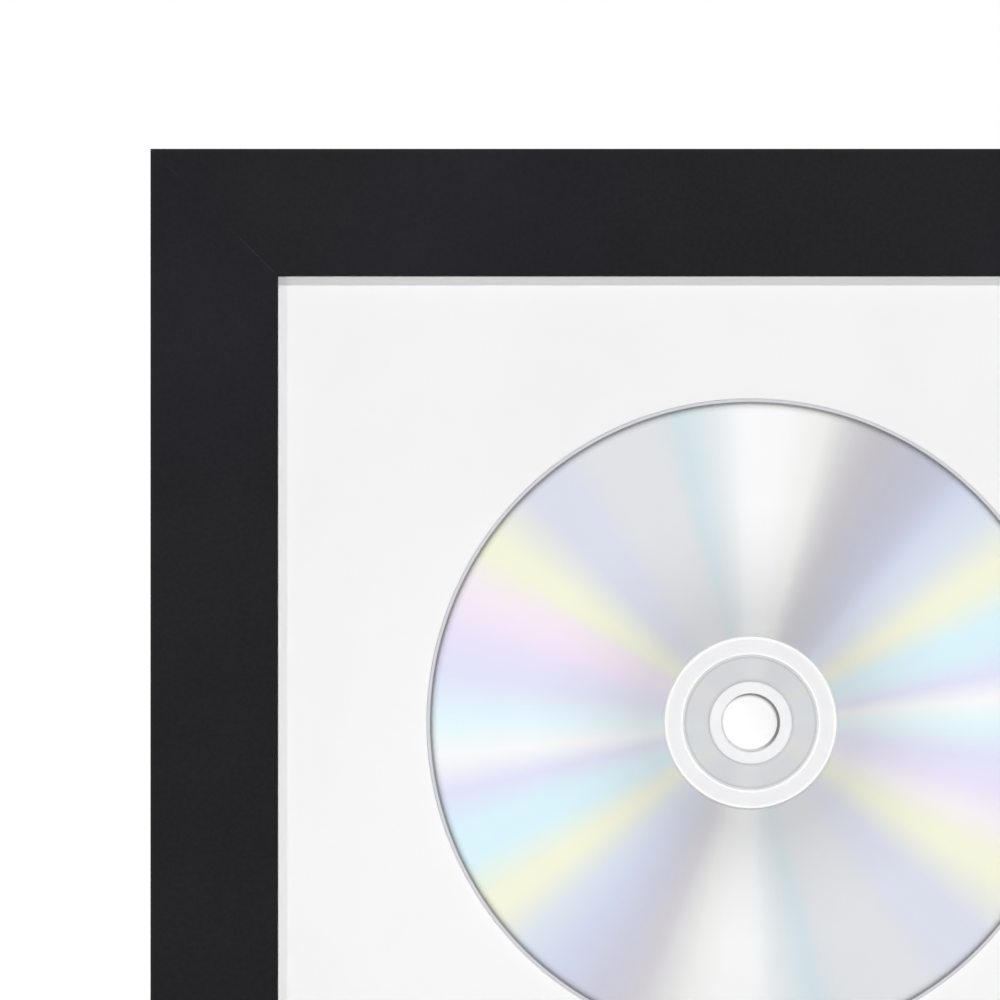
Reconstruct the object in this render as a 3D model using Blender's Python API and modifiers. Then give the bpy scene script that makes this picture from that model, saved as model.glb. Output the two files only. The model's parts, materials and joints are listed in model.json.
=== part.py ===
"""A wall frame that shows one optical disc, floating on a plain white mat behind clear glazing.

Four mitred wooden rails carry a stack in their rebate, from front to back: glazing, spacer strips,
mat, mounting board, backing board. The disc snaps on a hub that sticks to the mounting board through
a hole in the mat. Six turn buttons hold the stack in, and a toothed hanger carries the frame.

Metres, +Z up. The front faces -Y, and +X is to the right as seen from the front. The origin is the
middle of the frame's whole block, which reaches from the rails' faces to the backs of the bumpers.
"""

import math

import bmesh
import bpy
from mathutils import Matrix, Vector

MM = 0.001

# Fits that every seated or turning piece shares
SEAT_GAP = 0.2 * MM
MITRE_GAP = 0.1 * MM
RUNNING_GAP = 0.05 * MM
CUT_OVERRUN = 1.0 * MM
WELD_DISTANCE = 0.0001 * MM

# The disc, a standard one of 120 mm
DISC_RADIUS = 60.0 * MM
DISC_THICKNESS = 1.2 * MM
DISC_HOLE_RADIUS = 7.5 * MM
DISC_EDGE = 0.2 * MM
GROOVE_GAP = 0.25 * MM
GROOVE_WIDTH = 0.3 * MM
GROOVE_DEPTH = 0.15 * MM
RING_INNER_RADIUS = 12.5 * MM
RING_OUTER_RADIUS = 16.0 * MM
RING_HEIGHT = 0.2 * MM
RING_SLOPE = 0.25 * MM

# The mat's bare margins between the disc and the rails
SIDE_MARGIN = 27.3 * MM
TOP_MARGIN = 22.4 * MM

# The rails' moulding
FACE_WIDTH = 23.4 * MM
LIP_THICKNESS = 3.0 * MM
REBATE_WIDTH = 6.0 * MM
EASED_EDGE = 0.4 * MM

# The panels in the rebate
PANEL_CLEARANCE = 0.75 * MM
GLAZING_THICKNESS = 1.5 * MM
GLAZING_ARRIS = 0.2 * MM
SPACER_THICKNESS = 3.6 * MM
SPACER_WIDTH = 4.5 * MM
MAT_THICKNESS = 1.4 * MM
MOUNT_BOARD_THICKNESS = 5.0 * MM
BACKING_THICKNESS = 2.5 * MM

# The hub that holds the disc
HUB_BORE_RADIUS = 5.5 * MM
HUB_FLANGE_RADIUS = 15.0 * MM
HUB_FLANGE_EDGE = 0.2 * MM
HUB_BEAD_OVERHANG = 0.15 * MM
HUB_BEAD_HEIGHT = 0.5 * MM
HUB_BEAD_CROWN = 0.35 * MM
HUB_BORE_CHAMFER = 0.25 * MM
PAD_THICKNESS = 0.4 * MM
PAD_INSET = 1.5 * MM
MAT_HOLE_CLEARANCE = 0.5 * MM

# The corner wedges, thin steel angles pressed in across each mitre
WEDGE_WING = 5.5 * MM
WEDGE_SHEET = 0.6 * MM
WEDGE_DEPTH = 8.0 * MM
WEDGE_SINK = 0.4 * MM

# The turn buttons and their screws
BUTTON_THICKNESS = 1.0 * MM
BUTTON_HEAD_RADIUS = 5.0 * MM
BUTTON_TIP_RADIUS = 3.0 * MM
BUTTON_OVERLAP = 7.0 * MM
BUTTON_LIFT_LENGTH = 3.4 * MM
BUTTON_LIFT = 0.9 * MM
BUTTON_SPREAD_SHARE = 0.58
SCREW_SHANK_RADIUS = 1.4 * MM
SCREW_LENGTH = 10.0 * MM
SCREW_POINT = 2.0 * MM
SCREW_HEAD_RADIUS = 2.8 * MM
SCREW_HEAD_EDGE = 0.6 * MM
SCREW_HEAD_CROWN = 0.9 * MM
PILOT_GAP = 0.15 * MM

# The toothed hanger and its nails
HANGER_SHEET = 0.8 * MM
HANGER_HEIGHT = 9.0 * MM
HANGER_TAB_RADIUS = 4.0 * MM
HANGER_NAIL_CLEARANCE = 1.6 * MM
HANGER_BRIDGE_LENGTH = 31.0 * MM
HANGER_BEND_LENGTH = 2.0 * MM
HANGER_RAISE = 1.9 * MM
HANGER_TOOTH_PITCH = 2.6 * MM
HANGER_TOOTH_DEPTH = 1.5 * MM
NAIL_SHANK_RADIUS = 0.8 * MM
NAIL_LENGTH = 9.0 * MM
NAIL_POINT = 1.6 * MM
NAIL_HEAD_RADIUS = 1.9 * MM
NAIL_HEAD_EDGE = 0.35 * MM
NAIL_HEAD_CROWN = 0.45 * MM

# The rubber bumpers on the bottom rail
BUMPER_RADIUS = 4.8 * MM
BUMPER_HEIGHT = 3.4 * MM
BUMPER_SHOULDER = 1.0 * MM
BUMPER_FLAT_RADIUS = 2.4 * MM
BUMPER_SPREAD_SHARE = 0.74

# How finely round pieces are stepped
DISC_STEPS = 96
HUB_STEPS = 64
HARDWARE_STEPS = 24
ARC_STEPS = 6

# Sizes worked out from the ones above
SIGHT_WIDTH = 2 * (DISC_RADIUS + SIDE_MARGIN)
SIGHT_HEIGHT = 2 * (DISC_RADIUS + TOP_MARGIN)
OUTER_WIDTH = SIGHT_WIDTH + 2 * FACE_WIDTH
OUTER_HEIGHT = SIGHT_HEIGHT + 2 * FACE_WIDTH
LAND_WIDTH = FACE_WIDTH - REBATE_WIDTH
PANEL_WIDTH = SIGHT_WIDTH + 2 * (REBATE_WIDTH - PANEL_CLEARANCE)
PANEL_HEIGHT = SIGHT_HEIGHT + 2 * (REBATE_WIDTH - PANEL_CLEARANCE)
HUB_COLLAR_RADIUS = DISC_HOLE_RADIUS - RUNNING_GAP
HUB_FLANGE_THICKNESS = MAT_THICKNESS - PAD_THICKNESS - SEAT_GAP
PAD_RADIUS = HUB_FLANGE_RADIUS - PAD_INSET
HANGER_FOOT = HANGER_BRIDGE_LENGTH / 2 + HANGER_BEND_LENGTH
HANGER_NAIL_SPREAD = HANGER_FOOT + HANGER_NAIL_CLEARANCE + NAIL_HEAD_RADIUS

# Depths, counted backwards from the rails' front faces
GLAZING_DEPTH = LIP_THICKNESS + SEAT_GAP
SPACER_DEPTH = GLAZING_DEPTH + GLAZING_THICKNESS + SEAT_GAP
MAT_DEPTH = SPACER_DEPTH + SPACER_THICKNESS + SEAT_GAP
MOUNT_BOARD_DEPTH = MAT_DEPTH + MAT_THICKNESS + SEAT_GAP
BACKING_DEPTH = MOUNT_BOARD_DEPTH + MOUNT_BOARD_THICKNESS + SEAT_GAP
RAIL_DEPTH = BACKING_DEPTH + BACKING_THICKNESS + SEAT_GAP
DISC_BACK_DEPTH = MAT_DEPTH - SEAT_GAP
HUB_BACK_DEPTH = MAT_DEPTH + HUB_FLANGE_THICKNESS
BLOCK_DEPTH = RAIL_DEPTH + SEAT_GAP + BUMPER_HEIGHT
FRONT_Y = -BLOCK_DEPTH / 2

# Turned and flat pieces are drawn on the XY plane and then face forwards or backwards
FACE_FRONT = Matrix.Rotation(math.pi / 2, 4, "X")
FACE_BACK = Matrix.Rotation(-math.pi / 2, 4, "X")
QUARTER_TURN = math.pi / 2
SHARP_ANGLE = math.radians(35)

# Colour, roughness and metallic value of each finish
FINISHES = {
    "black_lacquer": ((0.020, 0.020, 0.023), 0.55, 0.0),
    "clear_acrylic": ((0.93, 0.95, 0.95), 0.05, 0.0),
    "white_foam_strip": ((0.86, 0.86, 0.85), 0.8, 0.0),
    "white_mat_board": ((0.91, 0.91, 0.90), 0.9, 0.0),
    "white_foam_board": ((0.84, 0.84, 0.82), 0.85, 0.0),
    "white_tape": ((0.90, 0.90, 0.90), 0.7, 0.0),
    "milky_plastic": ((0.88, 0.89, 0.90), 0.35, 0.0),
    "silver_disc": ((0.72, 0.76, 0.82), 0.2, 0.6),
    "brown_hardboard": ((0.30, 0.19, 0.11), 0.85, 0.0),
    "zinc_plate": ((0.62, 0.63, 0.65), 0.4, 1.0),
    "bright_steel": ((0.70, 0.70, 0.70), 0.3, 1.0),
    "brass_plate": ((0.72, 0.55, 0.27), 0.35, 1.0),
    "grey_rubber": ((0.10, 0.10, 0.10), 0.8, 0.0),
}


# Collections, materials and placing


def clear_scene():
    for found in list(bpy.data.objects):
        bpy.data.objects.remove(found)


def new_collection(name):
    made = bpy.data.collections.new(name)
    bpy.context.scene.collection.children.link(made)
    return made


def finish_material(name, finish):
    colour, roughness, metallic = FINISHES[finish]
    material = bpy.data.materials.new(f"{name}_{finish}")
    material.use_nodes = True
    material.diffuse_color = (*colour, 1)
    shader = material.node_tree.nodes["Principled BSDF"]
    shader.inputs["Base Color"].default_value = (*colour, 1)
    shader.inputs["Roughness"].default_value = roughness
    shader.inputs["Metallic"].default_value = metallic
    return material


def add_part(name, mesh, finish, place):
    """Puts a mesh in the frame's collection as one named piece, at a place given as a matrix."""
    part = bpy.data.objects.new(name, mesh)
    part.matrix_world = place
    part.data.materials.append(finish_material(name, finish))
    parts.objects.link(part)
    return part


def add_cutter(name, mesh, place, collection):
    cutter = bpy.data.objects.new(name, mesh)
    cutter.matrix_world = place
    cutter.hide_render = True
    cutter.display_type = "WIRE"
    collection.objects.link(cutter)
    return cutter


def at(x, depth, z):
    """A place given by its depth behind the rails' front faces."""
    return Matrix.Translation((x, FRONT_Y + depth, z))


def turned_about_y(angle):
    return Matrix.Rotation(angle, 4, "Y")


# Drawing tools


def arc(centre, radius, start, end, steps=ARC_STEPS):
    """Points from start to end, in degrees, along an arc round a centre."""
    points = []
    for step in range(steps + 1):
        angle = math.radians(start + (end - start) * step / steps)
        x = centre[0] + radius * math.cos(angle)
        y = centre[1] + radius * math.sin(angle)
        points.append((x, y))
    return points


def circle(centre, radius, steps=HARDWARE_STEPS):
    return arc(centre, radius, 0, 360, steps)[:-1]


def mesh_of(obj):
    """The mesh of a drawn object as its modifiers leave it, with loose caps joined and normals set outwards."""
    bpy.context.scene.collection.objects.link(obj)
    drawn = obj.evaluated_get(bpy.context.evaluated_depsgraph_get())
    mesh = bpy.data.meshes.new_from_object(drawn)
    bpy.data.objects.remove(obj)
    bm = bmesh.new()
    bm.from_mesh(mesh)
    bmesh.ops.remove_doubles(bm, verts=bm.verts, dist=WELD_DISTANCE)
    bmesh.ops.recalc_face_normals(bm, faces=bm.faces)
    bm.to_mesh(mesh)
    bm.free()
    mesh.materials.clear()
    return mesh


def plate_mesh(name, outlines, thickness):
    """A plate cut to closed outlines, the first its edge and the rest its holes, centred on z = 0."""
    curve = bpy.data.curves.new(name, "CURVE")
    curve.dimensions = "2D"
    curve.fill_mode = "BOTH"
    curve.extrude = thickness / 2
    for outline in outlines:
        spline = curve.splines.new("POLY")
        spline.points.add(len(outline) - 1)
        for point, (x, y) in zip(spline.points, outline):
            point.co = (x, y, 0, 1)
        spline.use_cyclic_u = True
    return mesh_of(bpy.data.objects.new(name, curve))


def turned_mesh(name, profile, steps, ring=False):
    """A shape turned about z from (radius, height) points, which run down its outer side.

    A ring's profile closes on itself round a bore. Any other starts and ends on the axis.
    """
    count = len(profile)
    edges = [(i, i + 1) for i in range(count - 1)]
    if ring:
        edges.append((count - 1, 0))
    mesh = bpy.data.meshes.new(name)
    mesh.from_pydata([(radius, 0, height) for radius, height in profile], edges, [])
    obj = bpy.data.objects.new(name, mesh)
    screw = obj.modifiers.new("Turn", "SCREW")
    screw.axis = "Z"
    screw.steps = steps
    screw.render_steps = steps
    screw.use_merge_vertices = True
    screw.merge_threshold = WELD_DISTANCE
    turned = mesh_of(obj)
    turned.shade_smooth()
    turned.set_sharp_from_angle(angle=SHARP_ANGLE)
    return turned


def box_mesh(name, size):
    """A box of a given size, centred on its own middle."""
    bm = bmesh.new()
    bmesh.ops.create_cube(bm, size=1, matrix=Matrix.Diagonal((*size, 1)))
    mesh = bpy.data.meshes.new(name)
    bm.to_mesh(mesh)
    bm.free()
    return mesh


def cylinder_mesh(name, radius, length, steps=HARDWARE_STEPS):
    """A plain round rod along z, centred on its own middle."""
    bm = bmesh.new()
    bmesh.ops.create_cone(
        bm, cap_ends=True, segments=steps, radius1=radius, radius2=radius, depth=length
    )
    mesh = bpy.data.meshes.new(name)
    bm.to_mesh(mesh)
    bm.free()
    return mesh


def add_arris(part, width):
    """A narrow flat taken off every sharp edge."""
    bevel = part.modifiers.new("Arris", "BEVEL")
    bevel.width = width
    bevel.segments = 1
    bevel.limit_method = "ANGLE"


def cut_with(part, name, cutter):
    cut = part.modifiers.new(name, "BOOLEAN")
    cut.operation = "DIFFERENCE"
    cut.object = cutter


# Rails


def moulding_outline():
    """The rails' section: x runs in from the outer side, y back from the face."""
    ease = EASED_EDGE
    return [
        *arc((ease, ease), ease, 180, 270, 3),
        *arc((FACE_WIDTH - ease, ease), ease, 270, 360, 3),
        (FACE_WIDTH, LIP_THICKNESS),
        (LAND_WIDTH, LIP_THICKNESS),
        (LAND_WIDTH, RAIL_DEPTH),
        (0, RAIL_DEPTH),
    ]


def saw_mitres(mesh, length):
    """Saws both ends of a length of moulding at 45 degrees, each half a joint's gap short of the corner."""
    bm = bmesh.new()
    bm.from_mesh(mesh)
    for end in (-1, 1):
        normal = Vector((1, 0, end)).normalized()
        corner = Vector((0, 0, end * length / 2))
        bmesh.ops.bisect_plane(
            bm,
            geom=[*bm.verts, *bm.edges, *bm.faces],
            plane_co=corner - normal * MITRE_GAP / 2,
            plane_no=normal,
            clear_outer=True,
        )
        bmesh.ops.holes_fill(bm, edges=[edge for edge in bm.edges if edge.is_boundary])
    bmesh.ops.recalc_face_normals(bm, faces=bm.faces)
    bm.to_mesh(mesh)
    bm.free()


def add_rail(side, quarter, length, reach):
    """One rail. A quarter turn of 1 lays it along the top, and each more takes it clockwise round the frame."""
    name = f"frame_rail_{side}"
    mesh = plate_mesh(name, [moulding_outline()], length)
    saw_mitres(mesh, length)
    turn = turned_about_y(quarter * QUARTER_TURN)
    outer_edge = turn @ Vector((-reach, 0, 0))
    rail = add_part(name, mesh, "black_lacquer", at(outer_edge.x, 0, outer_edge.z) @ turn)
    pockets = rail.modifiers.new("Pockets", "BOOLEAN")
    pockets.operation = "DIFFERENCE"
    pockets.operand_type = "COLLECTION"
    pockets.collection = rail_cutters


def add_rails():
    add_rail("top", 1, OUTER_WIDTH, OUTER_HEIGHT / 2)
    add_rail("right", 2, OUTER_HEIGHT, OUTER_WIDTH / 2)
    add_rail("bottom", 3, OUTER_WIDTH, OUTER_HEIGHT / 2)
    add_rail("left", 4, OUTER_HEIGHT, OUTER_WIDTH / 2)


# Corner wedges


def wedge_outline(grow):
    """An angle whose outer corner is at the origin and whose wings run along +x and +y."""
    wing = WEDGE_WING + grow
    sheet = WEDGE_SHEET + grow
    return [
        (-grow, -grow),
        (wing, -grow),
        (wing, sheet),
        (sheet, sheet),
        (sheet, wing),
        (-grow, wing),
    ]


def add_corner_wedges():
    """Each wedge straddles its mitre at the back of the frame, with one wing in either rail."""
    corners = {
        "top_left": (-1, 1, 0),
        "top_right": (1, 1, 1),
        "bottom_right": (1, -1, 2),
        "bottom_left": (-1, -1, 3),
    }
    inset = (LAND_WIDTH - WEDGE_WING) / 2
    slot_depth = WEDGE_SINK + WEDGE_DEPTH + SEAT_GAP
    for corner, (side, level, quarter) in corners.items():
        x = side * (OUTER_WIDTH / 2 - inset)
        z = level * (OUTER_HEIGHT / 2 - inset)
        turn = turned_about_y(quarter * QUARTER_TURN) @ FACE_BACK
        name = f"corner_wedge_{corner}"
        mesh = plate_mesh(name, [wedge_outline(0)], WEDGE_DEPTH)
        middle = RAIL_DEPTH - WEDGE_SINK - WEDGE_DEPTH / 2
        add_part(name, mesh, "bright_steel", at(x, middle, z) @ turn)
        slot = plate_mesh(f"{name}_slot", [wedge_outline(SEAT_GAP)], slot_depth + CUT_OVERRUN)
        slot_middle = RAIL_DEPTH + (CUT_OVERRUN - slot_depth) / 2
        add_cutter(f"{name}_slot", slot, at(x, slot_middle, z) @ turn, rail_cutters)


# Panels in the rebate


def add_panel(name, thickness, depth, finish):
    mesh = box_mesh(name, (PANEL_WIDTH, thickness, PANEL_HEIGHT))
    return add_part(name, mesh, finish, at(0, depth + thickness / 2, 0))


def add_spacers():
    """Two long strips along the top and bottom edges of the glazing, and two between them at the sides."""
    middle = SPACER_DEPTH + SPACER_THICKNESS / 2
    level = (PANEL_HEIGHT - SPACER_WIDTH) / 2
    side = (PANEL_WIDTH - SPACER_WIDTH) / 2
    side_length = PANEL_HEIGHT - 2 * (SPACER_WIDTH + SEAT_GAP)
    long_size = (PANEL_WIDTH, SPACER_THICKNESS, SPACER_WIDTH)
    short_size = (SPACER_WIDTH, SPACER_THICKNESS, side_length)
    strips = {
        "top": (long_size, 0, level),
        "bottom": (long_size, 0, -level),
        "left": (short_size, -side, 0),
        "right": (short_size, side, 0),
    }
    for where, (size, x, z) in strips.items():
        name = f"spacer_{where}"
        add_part(name, box_mesh(name, size), "white_foam_strip", at(x, middle, z))


def add_panels():
    glazing = add_panel("glazing", GLAZING_THICKNESS, GLAZING_DEPTH, "clear_acrylic")
    add_arris(glazing, GLAZING_ARRIS)
    add_spacers()
    mat = add_panel("mat_board", MAT_THICKNESS, MAT_DEPTH, "white_mat_board")
    hole_radius = HUB_FLANGE_RADIUS + MAT_HOLE_CLEARANCE
    hole = cylinder_mesh("mat_hub_hole", hole_radius, MAT_THICKNESS + 2 * CUT_OVERRUN, HUB_STEPS)
    hole_place = at(0, MAT_DEPTH + MAT_THICKNESS / 2, 0) @ FACE_FRONT
    cut_with(mat, "Hub hole", add_cutter("mat_hub_hole", hole, hole_place, cutters))
    add_panel("mounting_board", MOUNT_BOARD_THICKNESS, MOUNT_BOARD_DEPTH, "white_foam_board")
    add_panel("backing_board", BACKING_THICKNESS, BACKING_DEPTH, "brown_hardboard")


# Disc and hub


def disc_profile():
    """From the front of the rim round to the back, up the hole, and out over the moulded ring."""
    top = DISC_THICKNESS
    crest = top + RING_HEIGHT
    groove = DISC_HOLE_RADIUS + GROOVE_GAP
    return [
        (DISC_RADIUS - DISC_EDGE, top),
        (DISC_RADIUS, top - DISC_EDGE),
        (DISC_RADIUS, DISC_EDGE),
        (DISC_RADIUS - DISC_EDGE, 0),
        (DISC_HOLE_RADIUS, 0),
        (DISC_HOLE_RADIUS, top),
        (groove, top),
        (groove + GROOVE_WIDTH / 2, top - GROOVE_DEPTH),
        (groove + GROOVE_WIDTH, top),
        (RING_INNER_RADIUS, top),
        (RING_INNER_RADIUS + RING_SLOPE, crest),
        (RING_OUTER_RADIUS - RING_SLOPE, crest),
        (RING_OUTER_RADIUS, top),
    ]


def hub_profile():
    """A flange, a collar that fills the disc's hole, and a bead that snaps in front of the disc."""
    disc_front = HUB_FLANGE_THICKNESS + SEAT_GAP + DISC_THICKNESS
    bead_foot = disc_front + SEAT_GAP
    bead_top = bead_foot + HUB_BEAD_HEIGHT
    bead_radius = DISC_HOLE_RADIUS + HUB_BEAD_OVERHANG
    return [
        (HUB_BORE_RADIUS + HUB_BORE_CHAMFER, bead_top),
        (bead_radius - HUB_BEAD_CROWN, bead_top),
        (bead_radius, bead_top - HUB_BEAD_CROWN),
        (bead_radius, bead_foot),
        (HUB_COLLAR_RADIUS, bead_foot - HUB_BEAD_OVERHANG),
        (HUB_COLLAR_RADIUS, HUB_FLANGE_THICKNESS),
        (HUB_FLANGE_RADIUS - HUB_FLANGE_EDGE, HUB_FLANGE_THICKNESS),
        (HUB_FLANGE_RADIUS, HUB_FLANGE_THICKNESS - HUB_FLANGE_EDGE),
        (HUB_FLANGE_RADIUS, 0),
        (HUB_BORE_RADIUS, 0),
        (HUB_BORE_RADIUS, bead_top - HUB_BORE_CHAMFER),
    ]


def add_disc_and_hub():
    disc = turned_mesh("disc", disc_profile(), DISC_STEPS, ring=True)
    add_part("disc", disc, "silver_disc", at(0, DISC_BACK_DEPTH, 0) @ FACE_FRONT)
    hub = turned_mesh("disc_hub", hub_profile(), HUB_STEPS, ring=True)
    add_part("disc_hub", hub, "milky_plastic", at(0, HUB_BACK_DEPTH, 0) @ FACE_FRONT)
    pad = cylinder_mesh("hub_adhesive_pad", PAD_RADIUS, PAD_THICKNESS, HUB_STEPS)
    pad_middle = HUB_BACK_DEPTH + SEAT_GAP + PAD_THICKNESS / 2
    add_part("hub_adhesive_pad", pad, "white_tape", at(0, pad_middle, 0) @ FACE_FRONT)


# Screws and nails


def fastener_profile(shank_radius, length, point, head_radius, head_edge, head_crown):
    """A domed head on a pointed shank, with the seat under the head at height zero."""
    top = head_edge + head_crown
    middle = head_edge + head_crown * math.sin(QUARTER_TURN / 2)
    shoulder = head_radius * math.cos(QUARTER_TURN / 2)
    return [
        (0, top),
        (shoulder, middle),
        (head_radius, head_edge),
        (head_radius, 0),
        (shank_radius, 0),
        (shank_radius, point - length),
        (0, -length),
    ]


def add_pilot_hole(name, radius, x, z, reach):
    """A hole bored into a rail from behind, as deep as the fastener reaches below the rail's back."""
    depth = reach + PILOT_GAP
    mesh = cylinder_mesh(name, radius + PILOT_GAP, depth + CUT_OVERRUN)
    middle = RAIL_DEPTH + (CUT_OVERRUN - depth) / 2
    add_cutter(name, mesh, at(x, middle, z) @ FACE_BACK, rail_cutters)


# Turn buttons


def button_length():
    """From the screw, in the middle of the rail's back, to the tip's centre over the backing board."""
    return LAND_WIDTH / 2 + PANEL_CLEARANCE + BUTTON_OVERLAP - BUTTON_TIP_RADIUS


def button_outline():
    """A round head that tapers to a smaller round tip, both tangent to the straight sides."""
    length = button_length()
    lean = math.degrees(math.asin((BUTTON_HEAD_RADIUS - BUTTON_TIP_RADIUS) / length))
    head = arc((0, 0), BUTTON_HEAD_RADIUS, 90 - lean, 270 + lean, 2 * ARC_STEPS)
    tip = arc((length, 0), BUTTON_TIP_RADIUS, lean - 90, 90 - lean, ARC_STEPS)
    return [*head, *tip]


def turn_up_tip(mesh):
    """Bends the button's end up off the board, so that a finger gets under it."""
    bend = button_length() + BUTTON_TIP_RADIUS - BUTTON_LIFT_LENGTH
    bm = bmesh.new()
    bm.from_mesh(mesh)
    bmesh.ops.bisect_plane(
        bm,
        geom=[*bm.verts, *bm.edges, *bm.faces],
        plane_co=(bend, 0, 0),
        plane_no=(1, 0, 0),
    )
    for vert in bm.verts:
        if vert.co.x > bend:
            vert.co.z += BUTTON_LIFT * (vert.co.x - bend) / BUTTON_LIFT_LENGTH
    bm.to_mesh(mesh)
    bm.free()


def add_turn_button(where, x, z, quarter):
    """One button and its screw. Quarter 0 points the button to +X, and each more turns it clockwise from the front."""
    turn = turned_about_y(quarter * QUARTER_TURN) @ FACE_BACK
    name = f"turn_button_{where}"
    hole = circle((0, 0), SCREW_SHANK_RADIUS + RUNNING_GAP)
    button = plate_mesh(name, [button_outline(), hole], BUTTON_THICKNESS)
    turn_up_tip(button)
    middle = RAIL_DEPTH + SEAT_GAP + BUTTON_THICKNESS / 2
    add_part(name, button, "zinc_plate", at(x, middle, z) @ turn)
    profile = fastener_profile(
        SCREW_SHANK_RADIUS,
        SCREW_LENGTH,
        SCREW_POINT,
        SCREW_HEAD_RADIUS,
        SCREW_HEAD_EDGE,
        SCREW_HEAD_CROWN,
    )
    screw = turned_mesh(f"button_screw_{where}", profile, HARDWARE_STEPS)
    seat = SEAT_GAP + BUTTON_THICKNESS + SEAT_GAP
    add_part(f"button_screw_{where}", screw, "bright_steel", at(x, RAIL_DEPTH + seat, z) @ turn)
    add_pilot_hole(f"button_pilot_{where}", SCREW_SHANK_RADIUS, x, z, SCREW_LENGTH - seat)


def add_turn_buttons():
    """Two along the top, two along the bottom and one at each side, all pointing in over the backing."""
    spread = BUTTON_SPREAD_SHARE * PANEL_WIDTH / 2
    level = (OUTER_HEIGHT - LAND_WIDTH) / 2
    side = (OUTER_WIDTH - LAND_WIDTH) / 2
    add_turn_button("top_left", -spread, level, 1)
    add_turn_button("top_right", spread, level, 1)
    add_turn_button("right", side, 0, 2)
    add_turn_button("bottom_right", spread, -level, 3)
    add_turn_button("bottom_left", -spread, -level, 3)
    add_turn_button("left", -side, 0, 0)


# Toothed hanger


def hanger_outline():
    """A strip with round tabs at its ends. Its lower edge, at +y, is cut into teeth between the bends.

    The number of notches is odd, so that the frame hangs level on the middle one.
    """
    tab = HANGER_NAIL_SPREAD
    half = HANGER_HEIGHT / 2
    bridge = HANGER_BRIDGE_LENGTH / 2
    foot = HANGER_FOOT
    teeth_each_side = int((bridge - HANGER_TOOTH_PITCH) / HANGER_TOOTH_PITCH)
    teeth = 2 * teeth_each_side + 1
    start = -teeth * HANGER_TOOTH_PITCH / 2
    left_tab = arc((-tab, 0), HANGER_TAB_RADIUS, 270, 90, 2 * ARC_STEPS)
    right_tab = arc((tab, 0), HANGER_TAB_RADIUS, 90, -90, 2 * ARC_STEPS)
    saw = []
    for tooth in range(teeth):
        left = start + tooth * HANGER_TOOTH_PITCH
        saw.append((left, half))
        saw.append((left + HANGER_TOOTH_PITCH / 2, half - HANGER_TOOTH_DEPTH))
    saw.append((-start, half))
    return [
        *left_tab,
        (-foot, HANGER_TAB_RADIUS),
        (-bridge, half),
        *saw,
        (bridge, half),
        (foot, HANGER_TAB_RADIUS),
        *right_tab,
        (foot, -HANGER_TAB_RADIUS),
        (bridge, -half),
        (-bridge, -half),
        (-foot, -HANGER_TAB_RADIUS),
    ]


def raise_bridge(mesh):
    """Bends the strip up at both ends of the bridge, so that a wall hook fits behind the teeth."""
    bridge = HANGER_BRIDGE_LENGTH / 2
    foot = HANGER_FOOT
    bm = bmesh.new()
    bm.from_mesh(mesh)
    for line in (-foot, -bridge, bridge, foot):
        bmesh.ops.bisect_plane(
            bm,
            geom=[*bm.verts, *bm.edges, *bm.faces],
            plane_co=(line, 0, 0),
            plane_no=(1, 0, 0),
        )
    for vert in bm.verts:
        climbed = (foot - abs(vert.co.x)) / HANGER_BEND_LENGTH
        vert.co.z += HANGER_RAISE * min(max(climbed, 0), 1)
    bm.to_mesh(mesh)
    bm.free()


def add_hanger():
    """The hanger on the back of the top rail, nailed through its tabs."""
    level = (OUTER_HEIGHT - LAND_WIDTH) / 2
    tab = HANGER_NAIL_SPREAD
    hole_radius = NAIL_SHANK_RADIUS + RUNNING_GAP
    holes = [circle((-tab, 0), hole_radius), circle((tab, 0), hole_radius)]
    strip = plate_mesh("sawtooth_hanger", [hanger_outline(), *holes], HANGER_SHEET)
    raise_bridge(strip)
    middle = RAIL_DEPTH + SEAT_GAP + HANGER_SHEET / 2
    add_part("sawtooth_hanger", strip, "brass_plate", at(0, middle, level) @ FACE_BACK)
    profile = fastener_profile(
        NAIL_SHANK_RADIUS,
        NAIL_LENGTH,
        NAIL_POINT,
        NAIL_HEAD_RADIUS,
        NAIL_HEAD_EDGE,
        NAIL_HEAD_CROWN,
    )
    seat = SEAT_GAP + HANGER_SHEET + SEAT_GAP
    for where, x in (("left", -tab), ("right", tab)):
        nail = turned_mesh(f"hanger_nail_{where}", profile, HARDWARE_STEPS)
        place = at(x, RAIL_DEPTH + seat, level) @ FACE_BACK
        add_part(f"hanger_nail_{where}", nail, "brass_plate", place)
        add_pilot_hole(f"hanger_pilot_{where}", NAIL_SHANK_RADIUS, x, level, NAIL_LENGTH - seat)


# Bumpers


def bumper_profile():
    """A low dome on a short straight side, flat where it meets the wall."""
    rise = BUMPER_HEIGHT - BUMPER_SHOULDER
    run = BUMPER_RADIUS - BUMPER_FLAT_RADIUS
    dome = []
    for x, y in arc((0, 0), 1, 90, 0, ARC_STEPS):
        dome.append((BUMPER_FLAT_RADIUS + run * x, BUMPER_SHOULDER + rise * y))
    return [(0, BUMPER_HEIGHT), *dome, (BUMPER_RADIUS, 0), (0, 0)]


def add_bumpers():
    level = (OUTER_HEIGHT - LAND_WIDTH) / 2
    spread = BUMPER_SPREAD_SHARE * OUTER_WIDTH / 2
    for where, x in (("left", -spread), ("right", spread)):
        name = f"wall_bumper_{where}"
        bumper = turned_mesh(name, bumper_profile(), HARDWARE_STEPS)
        add_part(name, bumper, "grey_rubber", at(x, RAIL_DEPTH + SEAT_GAP, -level) @ FACE_BACK)


# Assembly

clear_scene()
parts = new_collection("cd_display_frame")
cutters = new_collection("cutters")
rail_cutters = new_collection("rail_cutters")
add_corner_wedges()
add_turn_buttons()
add_hanger()
add_bumpers()
add_panels()
add_disc_and_hub()
add_rails()
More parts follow.
